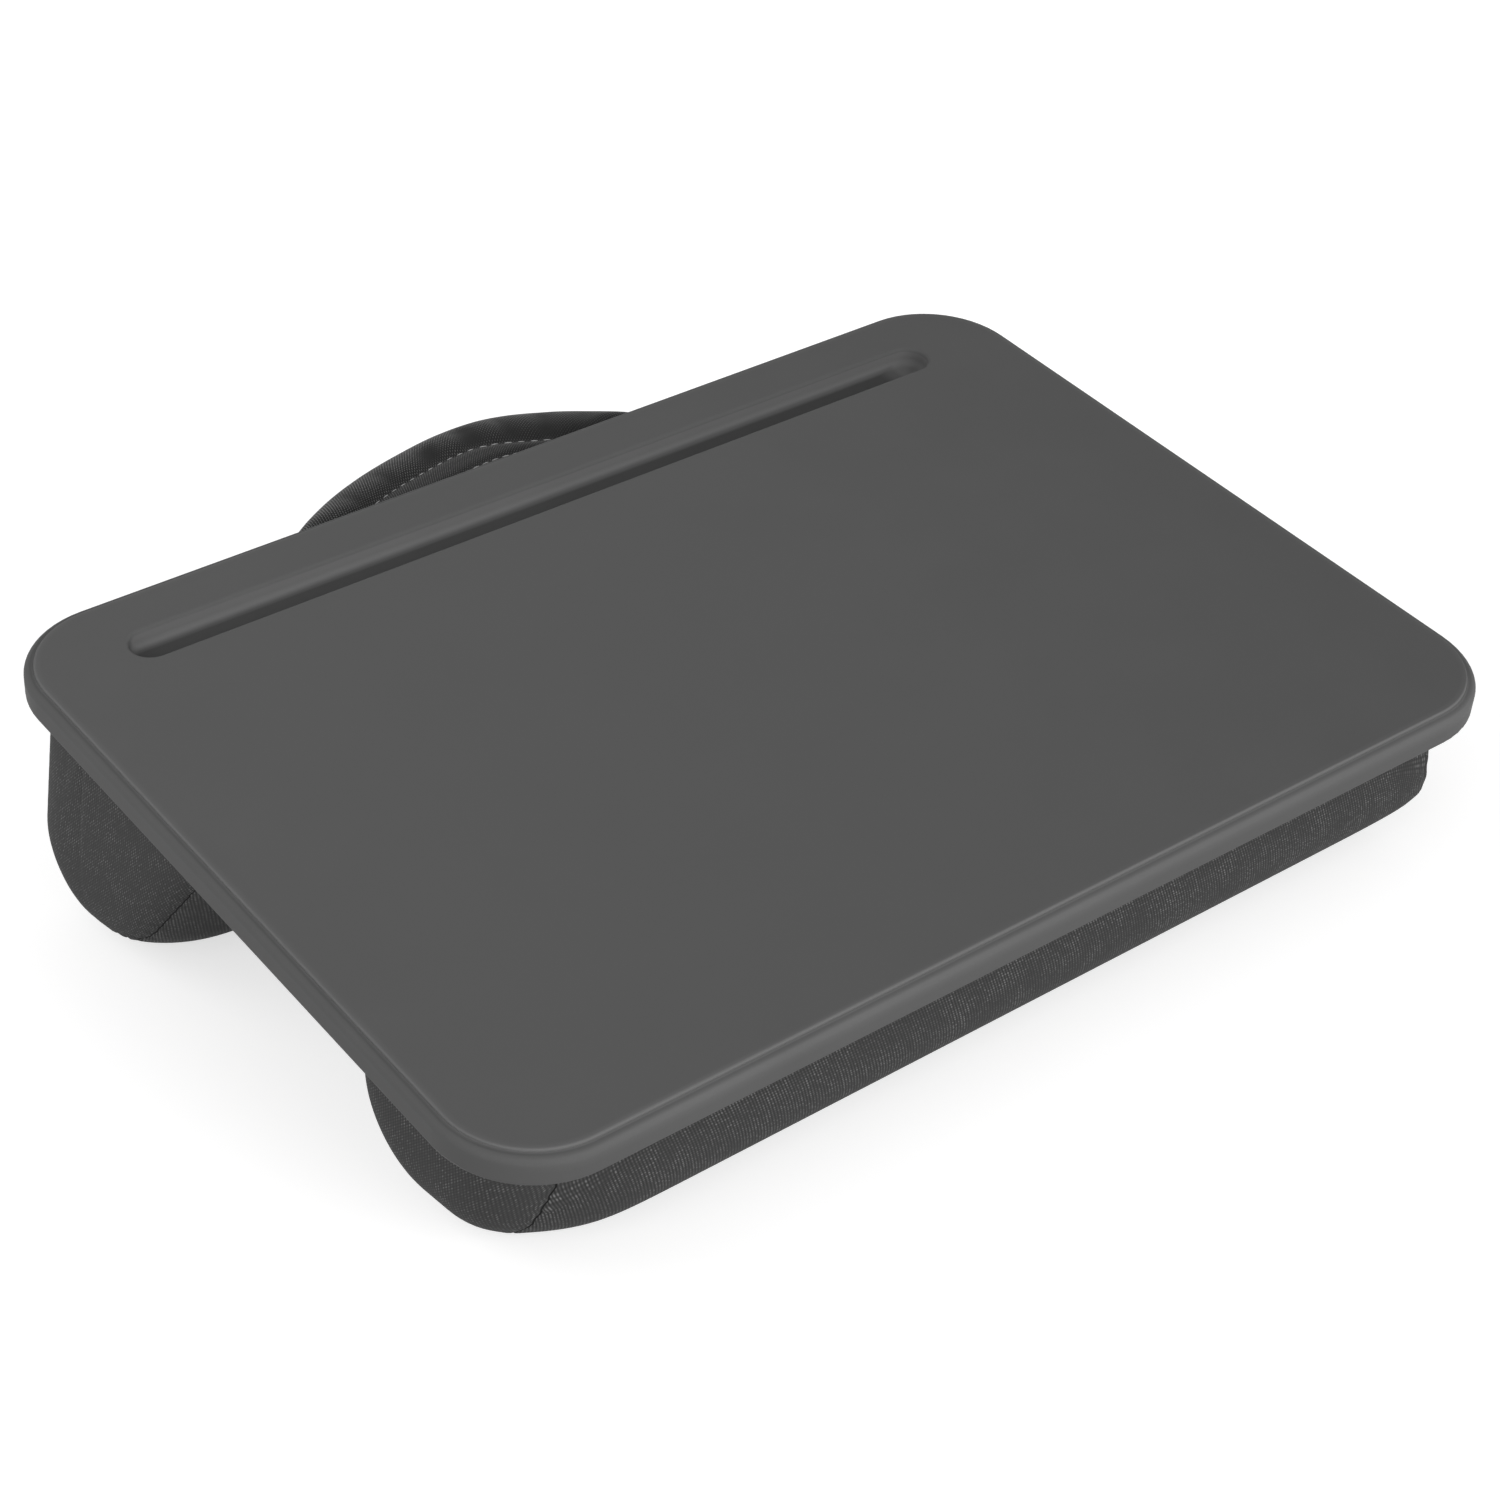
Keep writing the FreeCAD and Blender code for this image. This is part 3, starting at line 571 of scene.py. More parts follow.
# The coarse grid that is swollen: points round a section, and rows from the middle to an end.
SIDE_STEPS, BEND_STEPS, FLOOR_STEPS, TOP_STEPS = 9, 10, 9, 14
RING = 2 * SIDE_STEPS + 2 * BEND_STEPS + FLOOR_STEPS + TOP_STEPS
STRAIGHT_ROWS, SHOULDER_ROWS = 19, 7
PANEL_ANGLES = (18, 36, 54, 72, 87)  # round the end panel's edge
PANEL_SHARES = (0.84, 0.68, 0.5, 0.32, 0.15)  # and in to its middle, as shares of the last row
PANEL_ROWS = len(PANEL_ANGLES) + len(PANEL_SHARES)
PANEL_DOME, PANEL_TIP = 0.6, 0.05  # crown of the panel's middle, and of its last point
END_PASSES, FIRST_EVEN = 4, 17  # rounding of the corners into the end panels, and its first row

# The swelling.
CLOTH = {
    "quality": 6,
    "mass": 0.3,
    "tension_stiffness": 15,
    "compression_stiffness": 20,
    "shear_stiffness": 10,
    "bending_stiffness": 10,
    "use_pressure": True,
    "uniform_pressure_force": 10,
    "pin_stiffness": 2.0,
    "shrink_min": -0.0015,
    "shrink_max": 0.0,
}
CLOTH_FRAMES = 20
FORM_HOLD = 0.2  # how firmly the filling keeps the cover to its form
TOP_BAND = 0.5  # the board holds what lies this near to it
SETTLE_PASSES = 8
SWELLING = 1.0  # most that the cover may swell

# The fine grid and its seams.
FINE = 3  # fine steps to a coarse one
SEAM_COLUMNS = (0.28, 0.6, 1.2, 2.0, 3.2, 4.8)  # distances of the fine rows beside a seam
SEAM_CLEAR = 1.05  # coarse rows that these replace, on each side
WRAP_CELL, PANEL_CELL = 5.0, 4.6  # length of a coarse step on the two sides of a seam
SHIFT_REACH = 3.0  # coarse rows over which a seam's shift fades
PINCH, PINCH_REACH = 0.35, 0.45
PUCKER, PUCKER_REACH, PUCKER_PITCH = 0.15, 3.5, 8.5
UNEVEN, UNEVEN_PITCH = 1.3, 17.0  # how the puckers' spacing varies
ZIGZAG, ZIGZAG_REACH, ZIGZAG_PITCH = 0.4, 2.5, 6.5
SEWN_BELOW = (0.5, 6.0)  # the seams' relief sets in this far under the board
FAR = 1e3  # more than any row lies from a seam
WRAP, PANEL, SEAM = 0, 1, 2  # materials of a bolster


def straight_side(form, end, side, draw):
    """Directions down one side and along the floor under it, and the point where the two lines meet."""
    outward = (-1, 1)[side]
    lean = math.radians(mix(form["lean"][side], end["lean"][side], draw))
    down = np.array([outward * math.sin(lean), -math.cos(lean)])
    top = np.array([form["top"][side], DECK])
    gap = top @ FLOOR_UP + TOP_HEIGHT - end["lift"] * draw
    return down, FLOOR_ALONG * -outward, top - down * gap / (down @ FLOOR_UP)


def bolster_side(form, end, side, draw, inset):
    """Points down one side and round to the floor, as in the CAD source."""
    down, along, corner = straight_side(form, end, side, draw)
    far = straight_side(form, end, 1 - side, draw)[2]
    tangent = mix(form["bend"][side], end["bend"][side], draw) * np.linalg.norm(corner - far)
    turn = math.acos(np.clip(down @ along, -1, 1))
    outer = tangent / math.tan(turn / 2)
    radius = outer - inset
    centre = corner + along * tangent + FLOOR_UP * outer
    first = corner - down * tangent - centre
    first = first / np.linalg.norm(first)
    start = centre + first * radius
    top = start + down * (DECK - start[1]) / down[1]
    line = [mix(top, start, k / SIDE_STEPS) for k in range(SIDE_STEPS)]
    arc = []
    for k in range(BEND_STEPS + 1):
        share = k / BEND_STEPS
        ray = first * math.sin((1 - share) * turn) - FLOOR_UP * math.sin(share * turn)
        arc.append(centre + ray / np.linalg.norm(ray) * radius)
    return line, arc


def bolster_ring(form, end, draw, inset):
    """Closed outline of a section, from the front top edge round under it to the back and along the top."""
    front_line, front_arc = bolster_side(form, end, 0, draw, inset)
    back_line, back_arc = bolster_side(form, end, 1, draw, inset)
    floor = [mix(front_arc[-1], back_arc[-1], k / FLOOR_STEPS) for k in range(FLOOR_STEPS)]
    top = [mix(back_line[0], front_line[0], k / TOP_STEPS) for k in range(TOP_STEPS)]
    back_up = [(back_line + back_arc)[k] for k in range(SIDE_STEPS, 0, -1)]
    return np.array(front_line + front_arc[:-1] + floor + back_arc[:0:-1] + back_up + top)


def bolster_half(form, end):
    """Rows from the middle to one end panel, for x above 0, and the point at the panel's middle."""
    seam = end["seam"]
    straight = seam - SHOULDER_LENGTH
    rows = []
    shoulder = np.linspace(straight, seam, SHOULDER_ROWS)[1:]
    for x in list(np.linspace(0, straight, STRAIGHT_ROWS)) + list(shoulder):
        draw = max(0.0, (x - straight) / SHOULDER_LENGTH) ** SHOULDER_POWER
        rows.append((x, bolster_ring(form, end, draw, 0.0)))
    for angle in PANEL_ANGLES:
        turn = math.radians(angle)
        x = seam + end["bulge"] * math.sin(turn)
        rows.append((x, bolster_ring(form, end, 1, end["round"] * (1 - math.cos(turn)))))
    last_x, last = rows[-1]
    middle = np.array([last[:, 0].mean(), DECK])
    for share in PANEL_SHARES:
        rows.append((last_x + PANEL_DOME * (1 - share), middle + (last - middle) * share))
    grid = np.array([[(x, v, w) for v, w in ring] for x, ring in rows])
    for _ in range(END_PASSES):
        grid[FIRST_EVEN:] = evened(grid)[FIRST_EVEN:]
    return grid, np.array([rows[-1][0] + PANEL_TIP, middle[0], middle[1]])


def bolster_rows(form):
    """The bolster's surface from the left end panel to the right one, and the two end points."""
    left, left_pole = bolster_half(form, form["left"])
    right, right_pole = bolster_half(form, form["right"])
    mirror = np.array([-1, 1, 1])
    grid = np.concatenate([left[:0:-1] * mirror, right])
    return grid, np.array([left_pole * mirror, right_pole])


def inflate(points, faces, pinned, seam_points):
    """How far each point moves as pressure fills the cover, with its top held and its seams tight."""
    thing = mesh_object("swelling", points, faces, [])
    held = thing.vertex_groups.new(name="held")
    held.add(range(len(points)), FORM_HOLD, "REPLACE")
    held.add([int(i) for i in pinned], 1.0, "REPLACE")
    tight = thing.vertex_groups.new(name="tight")
    tight.add([int(i) for i in seam_points], 1.0, "REPLACE")
    cloth = thing.modifiers.new("Cloth", "CLOTH")
    for setting, value in CLOTH.items():
        setattr(cloth.settings, setting, value)
    cloth.settings.effector_weights.gravity = 0
    cloth.settings.vertex_group_mass = "held"
    cloth.settings.vertex_group_shrink = "tight"
    cloth.collision_settings.use_collision = False
    cloth.point_cache.frame_start = 1
    cloth.point_cache.frame_end = CLOTH_FRAMES
    for step in range(1, CLOTH_FRAMES + 1):
        bpy.context.scene.frame_set(step)
    swollen = thing.evaluated_get(bpy.context.evaluated_depsgraph_get())
    result = np.array([v.co for v in swollen.data.vertices])
    thing.modifiers.clear()
    bpy.context.scene.frame_set(1)
    mesh = thing.data
    bpy.data.objects.remove(thing)
    bpy.data.meshes.remove(mesh)
    return result - points


def settle(move, rows, limit):
    """Even out the swelling, as the filling spreads it, and let no point go past the limit."""
    grid = move[:-2].reshape(rows, RING, 3)
    for _ in range(SETTLE_PASSES):
        along = evened(grid)
        grid = (np.roll(along, 1, 1) + 2 * along + np.roll(along, -1, 1)) / 4
    move = np.vstack([grid.reshape(-1, 3), move[-2:]])
    length = np.maximum(np.linalg.norm(move, axis=1, keepdims=True), 1e-9)
    return move * np.tanh(length / limit) * limit / length


def swollen_rows(form):
    """The bolster's coarse grid, swollen by its filling, and the two end points."""
    grid, poles = bolster_rows(form)
    rows = len(grid)
    flat = grid.reshape(-1, 3)
    points = to_world(np.vstack([flat, poles]))
    top = np.where(np.append(flat[:, 2], [DECK, DECK]) > DECK - TOP_BAND)[0]
    seam_points = [i * RING + j for i in (PANEL_ROWS, rows - 1 - PANEL_ROWS) for j in range(RING)]
    move = inflate(points, tube_faces(rows, RING), top, seam_points)
    points = points + settle(move, rows, SWELLING * MM)
    tray = to_tray(points)
    return tray[:-2].reshape(rows, RING, 3), tray[-2:]


def fine_places(rows):
    """Where the fine rows lie between the coarse ones, close together at the seams, and the seams' places."""
    seams = (PANEL_ROWS, rows - 1 - PANEL_ROWS)
    places = set(np.round(np.arange(0, rows - 1 + 1e-6, 1 / FINE), 6))
    for seam, inwards in zip(seams, (1, -1)):
        places = {p for p in places if abs(p - seam) > SEAM_CLEAR}
        for distance in SEAM_COLUMNS:
            places.add(round(seam + inwards * distance / WRAP_CELL, 6))
            places.add(round(seam - inwards * distance / PANEL_CELL, 6))
        places.add(float(seam))
    return np.array(sorted(places)), seams


def refine(form, grid, places, seams):
    """The fine grid through the coarse one, with each seam moved to where it is sewn."""
    rows = len(grid)
    around = np.arange(0, RING, 1 / FINE)
    dense = np.einsum("bj,ijk->ibk", spline_weights(around, RING, True), grid)
    fine = np.empty((len(places), len(around), 3))
    for b in range(len(around)):
        column = places.copy()
        for seam, end, outwards in zip(seams, ("left", "right"), (-1, 1)):
            depth = smooth(DECK - dense[seam, b, 2], 0.0, DECK - dense[seam, :, 2].min())
            shift = mix(*form[end]["seam_shift"], depth)
            column += outwards * shift * bell(places - seam, SHIFT_REACH)
        fine[:, b] = spline_weights(np.clip(column, 0, rows - 1), rows, False) @ dense[:, b]
    return fine


def sew(fine, length, seam_rows):
    """The fine grid with its seams: a narrow, wandering pinch, and small puckers where stitches draw it in.

    Also the mean distance of each row from the nearest seam.
    """
    below = smooth(DECK - fine[..., 2], *SEWN_BELOW)
    distance = np.full(len(fine), FAR)
    for row in seam_rows:
        distance = np.minimum(distance, np.linalg.norm(fine - fine[row], axis=-1).mean(axis=1))
    reach = distance[:, None]
    phase = 2 * np.pi * length / PUCKER_PITCH + UNEVEN * np.sin(length / UNEVEN_PITCH)
    pucker = (0.5 + 0.5 * np.cos(phase)) ** 2
    dip = -PINCH * bell(reach, PINCH_REACH) - PUCKER * pucker * bell(reach, PUCKER_REACH)
    sewn = fine + grid_normals(fine) * (dip * below)[..., None]
    sewn[..., 0] += ZIGZAG * np.sin(2 * np.pi * length / ZIGZAG_PITCH) * bell(reach, ZIGZAG_REACH) * below
    sewn[..., 2] = np.minimum(sewn[..., 2], DECK)
    return sewn, reach


def cloth_places(fine, length, panel):
    """Where each point lies on the flat cloth: along and round the wrap, or on an end panel laid flat."""
    middle = len(fine) // 2
    steps = np.diff(fine, axis=0)
    travel = np.linalg.norm(steps, axis=-1)
    along = np.vstack([np.zeros(len(length[0])), np.cumsum(travel, axis=0)])
    places = np.stack([along - along[middle], np.broadcast_to(length[middle], along.shape)], -1)
    excess = (travel - np.linalg.norm(steps[..., 1:], axis=-1)).mean(axis=1)
    spread = np.zeros(len(fine))
    spread[1:middle] = np.cumsum(excess[:middle - 1])
    spread[middle:-1] = np.cumsum(excess[:middle - 1:-1])[::-1][: len(fine) - 1 - middle]
    tangent = np.roll(fine, -1, 1) - np.roll(fine, 1, 1)
    outwards = np.stack([tangent[..., 2], -tangent[..., 1]], -1)
    outwards /= np.maximum(np.linalg.norm(outwards, axis=-1, keepdims=True), 1e-9)
    laid = fine[..., 1:] + outwards * spread[:, None, None]
    places[panel] = laid[panel]
    return places


def bolster_materials(seam_rows, rows, ring):
    """Material of each face: the wrap between the seams, the end panels beyond, and the seams' own rows."""
    band = np.full(rows - 1, WRAP)
    band[:seam_rows[0]] = PANEL
    band[seam_rows[1]:] = PANEL
    for row in seam_rows:
        band[row - 1:row + 1] = SEAM
    return np.concatenate([np.repeat(band, ring), np.full(2 * ring, PANEL)])


def make_bolster(side, materials):
    form = BOLSTERS[side]
    grid, poles = swollen_rows(form)
    places, seams = fine_places(len(grid))
    seam_rows = [int(np.argmin(np.abs(places - seam))) for seam in seams]
    fine = refine(form, grid, places, seams)
    travel = np.linalg.norm(np.roll(fine, -1, 1) - fine, axis=-1)
    length = np.cumsum(travel, axis=1) - travel
    fine, reach = sew(fine, length, seam_rows)

    world = to_world(fine)
    world[..., 2] = np.maximum(world[..., 2], 0.0)
    shown = np.vstack([world.reshape(-1, 3), to_world(poles)])
    weave = np.zeros(fine.shape)
    panel = (places < seams[0]) | (places > seams[1])
    weave[..., :2] = cloth_places(fine, length, panel) * MM
    weave[..., 2] = reach * MM
    pattern = np.vstack([weave.reshape(-1, 3), np.zeros((2, 3))])
    rows, ring = fine.shape[:2]
    face_material = bolster_materials(seam_rows, rows, ring)
    faces = tube_faces(rows, ring)
    cushion = mesh_object(side + "_bolster", shown, faces, materials, face_material, pattern)
    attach(cushion, "desk")
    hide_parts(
        side + "_wrap_panel",
        side + "_left_end_panel",
        side + "_right_end_panel",
        side + "_fill",
    )


# Centre strip
WEB_WIDTH, WEB_FRONT, WEB_BACK = 303.6, -45.05, 19.75
WEB_CLOTH, WEB_GAP = 0.5, 0.05  # its thickness, and its gap to the backing cloth
WEB_COLUMNS, WEB_ROWS = 102, 34
RIPPLE, RIPPLE_PITCH = 0.16, 5.2
RIPPLE_PLACE, RIPPLE_REACH = 3.0, 6.0  # in from the strip's edge
RIPPLE_BEND, RIPPLE_BEND_PITCH = 1.5, 9.0
SAG, SAG_REACH = 0.12, 20.0


def make_web(material):
    """The strip of cover cloth under the board: pulled flat, with faint ripples at its edges."""
    xs = np.linspace(-WEB_WIDTH / 2, WEB_WIDTH / 2, WEB_COLUMNS)
    vs = np.linspace(WEB_FRONT, WEB_BACK, WEB_ROWS)
    x, v = np.meshgrid(xs, vs, indexing="ij")
    inside = np.minimum(np.minimum(v - WEB_FRONT, WEB_BACK - v), WEB_WIDTH / 2 - np.abs(x))
    folds_across = 1 + np.sin(x / RIPPLE_PITCH + RIPPLE_BEND * np.sin(v / RIPPLE_BEND_PITCH))
    ripple = RIPPLE * folds_across * bell(inside - RIPPLE_PLACE, RIPPLE_REACH)
    ripple = ripple + SAG * smooth(inside, 0, SAG_REACH)
    upper = np.stack([x, v, np.full_like(x, DECK - WEB_GAP)], -1)
    lower = np.stack([x, v, DECK - WEB_GAP - WEB_CLOTH - ripple], -1)
    count = WEB_COLUMNS * WEB_ROWS
    faces = []
    for i in range(WEB_COLUMNS - 1):
        for j in range(WEB_ROWS - 1):
            a, b = i * WEB_ROWS + j, (i + 1) * WEB_ROWS + j
            c, d = b + 1, a + 1
            faces.append((d, c, b, a))
            faces.append((a + count, b + count, c + count, d + count))
    rim = [i * WEB_ROWS for i in range(WEB_COLUMNS)]
    rim += [(WEB_COLUMNS - 1) * WEB_ROWS + j for j in range(1, WEB_ROWS)]
    rim += [i * WEB_ROWS + WEB_ROWS - 1 for i in range(WEB_COLUMNS - 2, -1, -1)]
    rim += list(range(WEB_ROWS - 2, 0, -1))
    for a, b in zip(rim, rim[1:] + rim[:1]):
        faces.append((a, b, b + count, a + count))
    points = np.vstack([lower.reshape(-1, 3), upper.reshape(-1, 3)])
    weave = np.stack([points[:, 0], points[:, 1], np.tile(inside.ravel(), 2)], -1) * MM
    web = mesh_object("centre_strip", to_world(points), faces, [material], None, weave)
    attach(web, "desk")
    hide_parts("centre_web")


# Handle

# A strap bent into a bow behind the board, with its ends tucked flat under it.
HINGE_V, HINGE_W = 131.25, -12.7  # the line where the handle bends
REST_ANGLE = math.radians(-3.0)  # of the handle against the board
BOW_RADIUS, BOW_WIDTH, BOW_REACH = 91.5, 26.5, 34.5
SET_BACK = BOW_RADIUS - BOW_REACH
MIDDLE = BOW_RADIUS - BOW_WIDTH / 2
HALF_ANGLE = math.acos(SET_BACK / MIDDLE)  # radians of the bow behind the bend line, on each side
HALF_BOW = MIDDLE * HALF_ANGLE
TAB_LENGTH, TAB_HALF = 45.0, 0.9  # flat ends, and half their thickness
BOW_SHIFT = -3.5  # the bow is sewn on slightly askew
EDGE_STEP = 16.0  # along the bow, between the offsets of its outer edge
EDGE_OFFSETS = (3.5, 2.2, -0.35, -2.25, -2.88, -1.67, -0.5, -1.85, -3.05, -2.6, -2.0)
ROLL_HEIGHT, FLANGE_HEIGHT, FLANGE_MIDDLE = 4.2, 1.9, 3.5
OUTER_ROW, OUTER_ROW_SHIFT = 13.6, 3.2  # first row of stitches, in from the outer edge
ROW_SHIFTS = (2.0, 26.0)  # along the bow, where that row moves inwards
INNER_ROW = 22.9  # second row of stitches
SEWN_DIP, SEWN_REACH = 0.8, 1.2  # how the stitches draw the strap in
THINNEST = 0.15
FILLS_OUT = 10.0  # reach at which the strap is fully padded
STATIONS, ACROSS_POINTS = 221, 33
PUCKERS = (  # place along the bow, depth, width, lean, where it starts across the roll
    (-58, 0.35, 3.0, 0.0, 1.0),
    (-43, 0.35, 3.2, 0.0, 1.0),
    (-28, 0.4, 3.2, 0.0, 2.0),
    (-11, 1.0, 4.0, -0.36, 4.0),
    (6, 1.05, 4.0, 0.0, 1.5),
    (20, 0.6, 3.2, 0.2, 1.5),
    (31, 0.8, 3.2, 0.0, 1.5),
    (44, 0.55, 3.0, 0.0, 1.5),
    (57, 0.4, 3.0, 0.0, 1.5),
)
FOLD_RISE = 5.0  # across the roll, over which a pucker deepens
FOLD_STOPS = (3.5, 0.3)  # before the first row of stitches, where it fades out
FOLD_REACH = (4, 12)  # reach over which the puckers set in
FOLD_LIMIT = 5  # widths past which a pucker is left out
FOLD_SWELL = 0.15  # share of its depth by which the cloth rises beside it
STITCH_LENGTH, STITCH_GAP, STITCH_RADIUS = 3.1, 1.2, 0.19
STITCH_ARCH, STITCH_SINK = 0.18, 0.04
STITCH_RINGS, STITCH_SIDES = 5, 6
STITCHED, STITCH_REACH = 66, 5  # half length of the rows, and their least reach


def handle_line(distance):
    """Middle line of the strap: point and direction, at a distance along it from the top of the bow."""
    side = math.copysign(1, distance)
    if abs(distance) <= HALF_BOW:
        angle = distance / MIDDLE
        point = np.array([MIDDLE * math.sin(angle), MIDDLE * math.cos(angle) - SET_BACK])
        return point, np.array([math.cos(angle), -math.sin(angle)])
    angle = side * HALF_ANGLE
    direction = np.array([math.cos(angle), -math.sin(angle)])
    start = np.array([MIDDLE * math.sin(angle), 0.0])
    return start + direction * (distance - side * HALF_BOW), direction


def edge_offset(distance):
    """How far the strap lies outside its even bow."""
    last = len(EDGE_OFFSETS) - 1
    place = np.clip(distance / EDGE_STEP + last / 2, 0, last)
    return float((spline_weights([place], last + 1, False) @ EDGE_OFFSETS)[0])


def outer_row(distance):
    """Distance of the first row of stitches from the outer edge: the roll widens to the right."""
    return OUTER_ROW + OUTER_ROW_SHIFT * float(smooth(distance, *ROW_SHIFTS))


def inner_row(distance):
    """Distance of the second row from the outer edge: the same all along."""
    return INNER_ROW


def padded_height(across, row):
    """Half thickness of the padded strap, across from its outer edge: a full roll, then a sewn flange."""
    roll = ROLL_HEIGHT * np.clip(1 - (np.abs(across / row - 0.48) / 0.487) ** 2.2, 0, 1) ** 0.6
    half_flange = BOW_WIDTH - row - FLANGE_MIDDLE
    from_middle = np.abs(across - row - FLANGE_MIDDLE) / half_flange
    flange = FLANGE_HEIGHT * np.clip(1 - from_middle ** 6, 0, 1) ** 0.5
    body = (roll ** 3 + flange ** 3) ** (1 / 3)
    for sewn in (row, INNER_ROW):
        body = body - SEWN_DIP * bell(across - sewn, SEWN_REACH)
    return np.maximum(body, THINNEST)


def handle_point(distance, across, height):
    """A point on the strap, and its reach past the bend line.

    It lies across from the outer edge, and at a height from the strap's middle plane.
    """
    point, direction = handle_line(distance)
    outwards = np.array([-direction[1], direction[0]])
    x, reach = point + outwards * (BOW_WIDTH / 2 - across + edge_offset(distance))
    x = x + BOW_SHIFT
    if reach > 0:
        v = HINGE_V + reach * math.cos(REST_ANGLE) - height * math.sin(REST_ANGLE)
        w = HINGE_W + reach * math.sin(REST_ANGLE) + height * math.cos(REST_ANGLE)
    else:
        v, w = HINGE_V + reach, HINGE_W + height
    return np.array([x, v, w]), reach


def folds(distance, across):
    """The puckers near a point: depth, width, distance from the fold, and how strongly it crosses here."""
    row = outer_row(distance)
    _, reach = handle_point(distance, across, 0.0)
    stops = smooth(across, row - FOLD_STOPS[0], row - FOLD_STOPS[1])
    sewn = (1 - stops) * smooth(reach, *FOLD_REACH)
    near = []
    for place, depth, width, lean, start in PUCKERS:
        apart = abs(distance - place - lean * (across - row))
        if apart < FOLD_LIMIT * width:
            near.append((depth, width, apart, smooth(across, start, start + FOLD_RISE) * sewn))
    return near


def strap_height(distance, across):
    """Half thickness with the flat sewn ends and the puckers across the roll."""
    full = padded_height(across, outer_row(distance))
    _, reach = handle_point(distance, across, 0.0)
    edge = BOW_WIDTH / 2
    flat = TAB_HALF * np.sqrt(np.clip(1 - ((across - edge) / edge) ** 8, 0.02, 1))
    thick = mix(flat, full, smooth(reach, 0.0, FILLS_OUT))
    for depth, width, apart, crossing in folds(distance, across):
        thick -= depth * bell(apart, width) * crossing
        thick += FOLD_SWELL * depth * bell(apart - 2.0 * width, width) * crossing
    return max(thick, THINNEST)


def shaded(distance, across):
    """How deep in a fold the cloth lies, from 0 to 1: the strength of the painted shade in the folds."""
    near = folds(distance, across)
    return min(1.0, sum(depth * bell(apart, width) * crossing for depth, width, apart, crossing in near))


def make_handle(material):
    half = HALF_BOW + TAB_LENGTH
    stations = np.linspace(-half, half, STATIONS)
    edge = BOW_WIDTH / 2
    across = edge - edge * np.cos(np.linspace(0, np.pi, ACROSS_POINTS))
    ring = [(a, 1) for a in across[:-1]] + [(a, -1) for a in across[:0:-1]]
    points, weave = [], []
    for distance in stations:
        for a, face in ring:
            height = 0.0 if a in (across[0], across[-1]) else strap_height(distance, a)
            point, _ = handle_point(distance, a, face * height)
            points.append(point)
            # The third weave coordinate carries the painted fold shade, on the upper face only.
            weave.append((distance * MM, a * MM, shaded(distance, a) if face > 0 else 0.0))
    count = len(ring)
    for row in (0, len(stations) - 1):
        points.append(np.mean(points[row * count:(row + 1) * count], axis=0))
        weave.append(weave[row * count])
    faces = tube_faces(len(stations), count)
    sleeve = mesh_object("handle_strap", to_world(points), faces, [material], None, weave)
    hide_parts("handle_sleeve", "handle_padding", "left_handle_tab", "right_handle_tab")
    return sleeve


def stitch_spine(row_of, face, start):
    """Middle line of one stitch, which arches a little over the cloth."""
    spine = []
    for k in range(STITCH_RINGS):
        share = k / (STITCH_RINGS - 1)
        distance = start + STITCH_LENGTH * share
        row = row_of(distance)
        lift = strap_height(distance, row) + STITCH_ARCH * math.sin(math.pi * share) - STITCH_SINK
        spine.append(handle_point(distance, row, face * lift)[0])
    return spine


def stitch_tube(spine):
    """Points of one stitch: rings round its middle line, thinner at the ends, and the two end points."""
    points = []
    for k, centre in enumerate(spine):
        size = STITCH_RADIUS * (0.35 + 0.65 * math.sin(math.pi * (k + 0.35) / (STITCH_RINGS - 0.3)))
        direction = spine[min(k + 1, STITCH_RINGS - 1)] - spine[max(k - 1, 0)]
        direction = direction / np.linalg.norm(direction)
        up = np.array([0.0, 0.0, 1.0]) - direction * direction[2]
        up = up / np.linalg.norm(up)
        out = np.cross(direction, up)
        for s in range(STITCH_SIDES):
            angle = 2 * math.pi * s / STITCH_SIDES
            points.append(centre + size * (out * math.cos(angle) + up * math.sin(angle)))
    return points + [spine[0], spine[-1]]


def make_stitches(material):
    """Dashes of thread along the sewn rows, on both faces of the strap."""
    points, faces = [], []
    for row_of in (outer_row, inner_row):
        for face in (1, -1):
            for start in np.arange(-STITCHED, STITCHED, STITCH_LENGTH + STITCH_GAP):
                if handle_point(start, row_of(start), 0)[1] < STITCH_REACH:
                    continue
                base = len(points)
                points += stitch_tube(stitch_spine(row_of, face, start))
                for corners in tube_faces(STITCH_RINGS, STITCH_SIDES):
                    faces.append([base + index for index in corners[::-1]])
    return mesh_object("handle_stitching", to_world(points), faces, [material])


# Stage

# The floor and the world look white, but light the object less than that.
FLOOR_GREY, FLOOR_GLOW = 0.6, 0.66
FLOOR_HALF = 12000.0
WORLD_LIGHT, WORLD_SEEN = 0.47, 1.0
LAMPS = (  # name, strength, width in degrees, direction towards it
    ("Key", 1.78, 40, (0.2, -0.93, 0.27)),
    ("Fill", 0.9, 60, (-0.85, -0.4, 0.33)),
    ("Rim", 0.5, 40, (-0.5, 0.65, 0.5)),
)


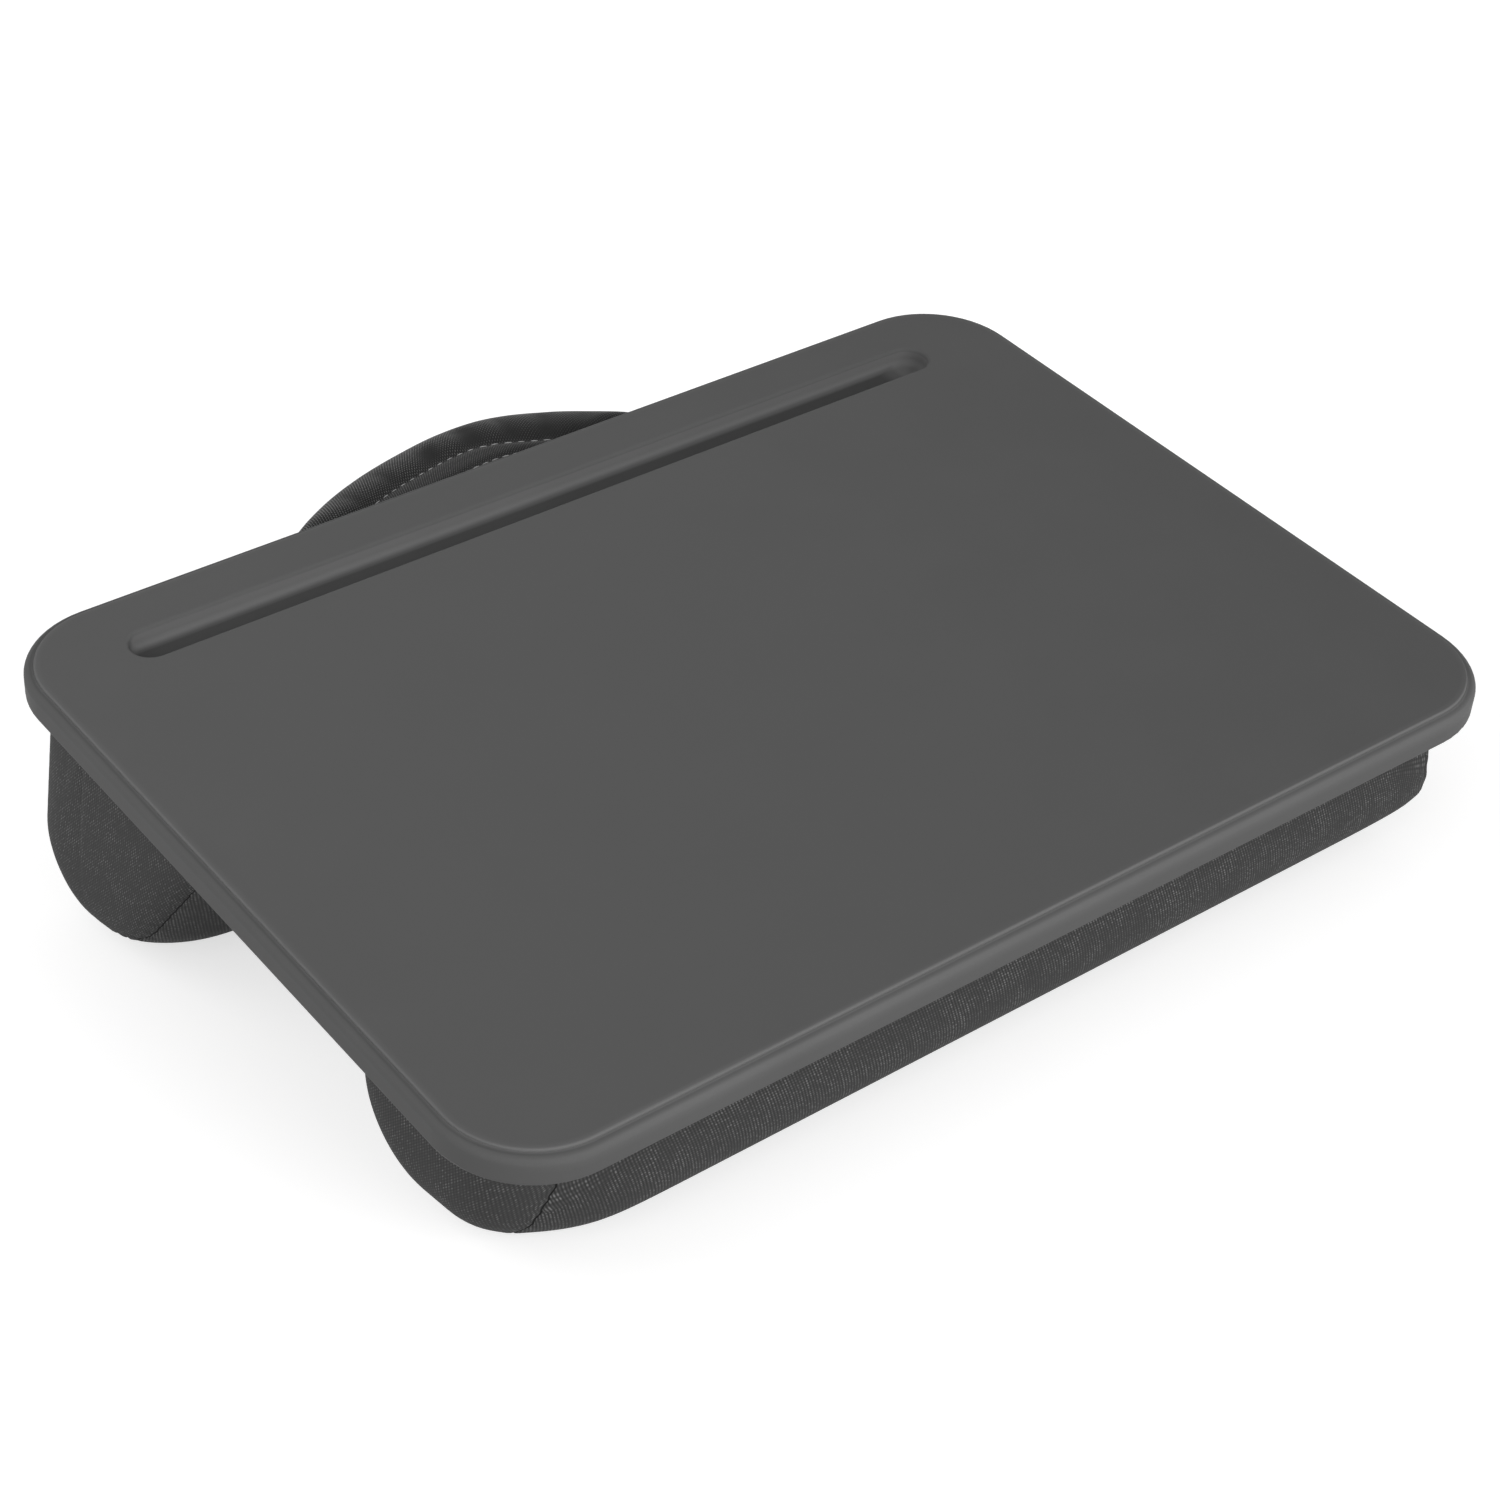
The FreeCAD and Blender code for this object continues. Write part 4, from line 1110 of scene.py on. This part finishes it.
def make_floor():
    finish = Finish("floor", (FLOOR_GREY, FLOOR_GREY, FLOOR_GREY), 0.9, Specular_IOR_Level=0.0)
    path = finish.node("ShaderNodeLightPath")
    seen = finish.math("MAXIMUM", path.outputs["Is Camera Ray"], path.outputs["Is Glossy Ray"])
    seen = finish.math("MAXIMUM", seen, path.outputs["Is Transmission Ray"])
    finish.shader.inputs["Emission Color"].default_value = (1, 1, 1, 1)
    finish.feed(finish.shader.inputs["Emission Strength"], finish.times(seen, FLOOR_GLOW))
    size = FLOOR_HALF * MM
    corners = [(-size, -size, 0), (size, -size, 0), (size, size, 0), (-size, size, 0)]
    floor = mesh_object("floor", corners, [(0, 1, 2, 3)], [finish.material])


def make_world():
    world = bpy.data.worlds.new("Studio")
    bpy.context.scene.world = world
    world.use_nodes = True
    nodes, links = world.node_tree.nodes, world.node_tree.links
    back = nodes["Background"]
    path = nodes.new("ShaderNodeLightPath")
    seen = path.outputs["Is Camera Ray"]
    for kind in ("Is Glossy Ray", "Is Transmission Ray"):
        either = nodes.new("ShaderNodeMath")
        either.operation = "MAXIMUM"
        links.new(seen, either.inputs[0])
        links.new(path.outputs[kind], either.inputs[1])
        seen = either.outputs[0]
    level = nodes.new("ShaderNodeMapRange")
    links.new(seen, level.inputs["Value"])
    level.inputs["To Min"].default_value = WORLD_LIGHT
    level.inputs["To Max"].default_value = WORLD_SEEN
    back.inputs["Color"].default_value = (1, 1, 1, 1)
    links.new(level.outputs[0], back.inputs["Strength"])


def make_lamps():
    for name, energy, spread, towards in LAMPS:
        lamp = bpy.data.lights.new(name, "SUN")
        lamp.energy = energy
        lamp.angle = math.radians(spread)
        light = bpy.data.objects.new(name, lamp)
        bpy.context.scene.collection.objects.link(light)
        light.rotation_mode = "QUATERNION"
        light.rotation_quaternion = Vector(towards).to_track_quat("Z", "Y")


# The whole object on its stage
bpy.context.scene.view_settings.view_transform = "Standard"
make_camera()
make_world()
make_lamps()
make_floor()

wrap_cloth = cover_finish("cover_ribs", WRAP_CLOTH)
cover_materials = [wrap_cloth, cover_finish("cover_ends", END_CLOTH), seam_finish()]
make_bolster("front", cover_materials)
make_bolster("back", cover_materials)
make_web(wrap_cloth)

strap = make_handle(twill_finish())
stitches = make_stitches(thread_finish())
for piece in (strap, stitches):
    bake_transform(piece)

dress("tray_foil", foil_finish())
dress("tray_core", core_finish())
dress("backing_cloth", backing_finish())
steel = steel_finish()
for node in ("hem_staples", "handle_staples"):
    dress(node, steel)
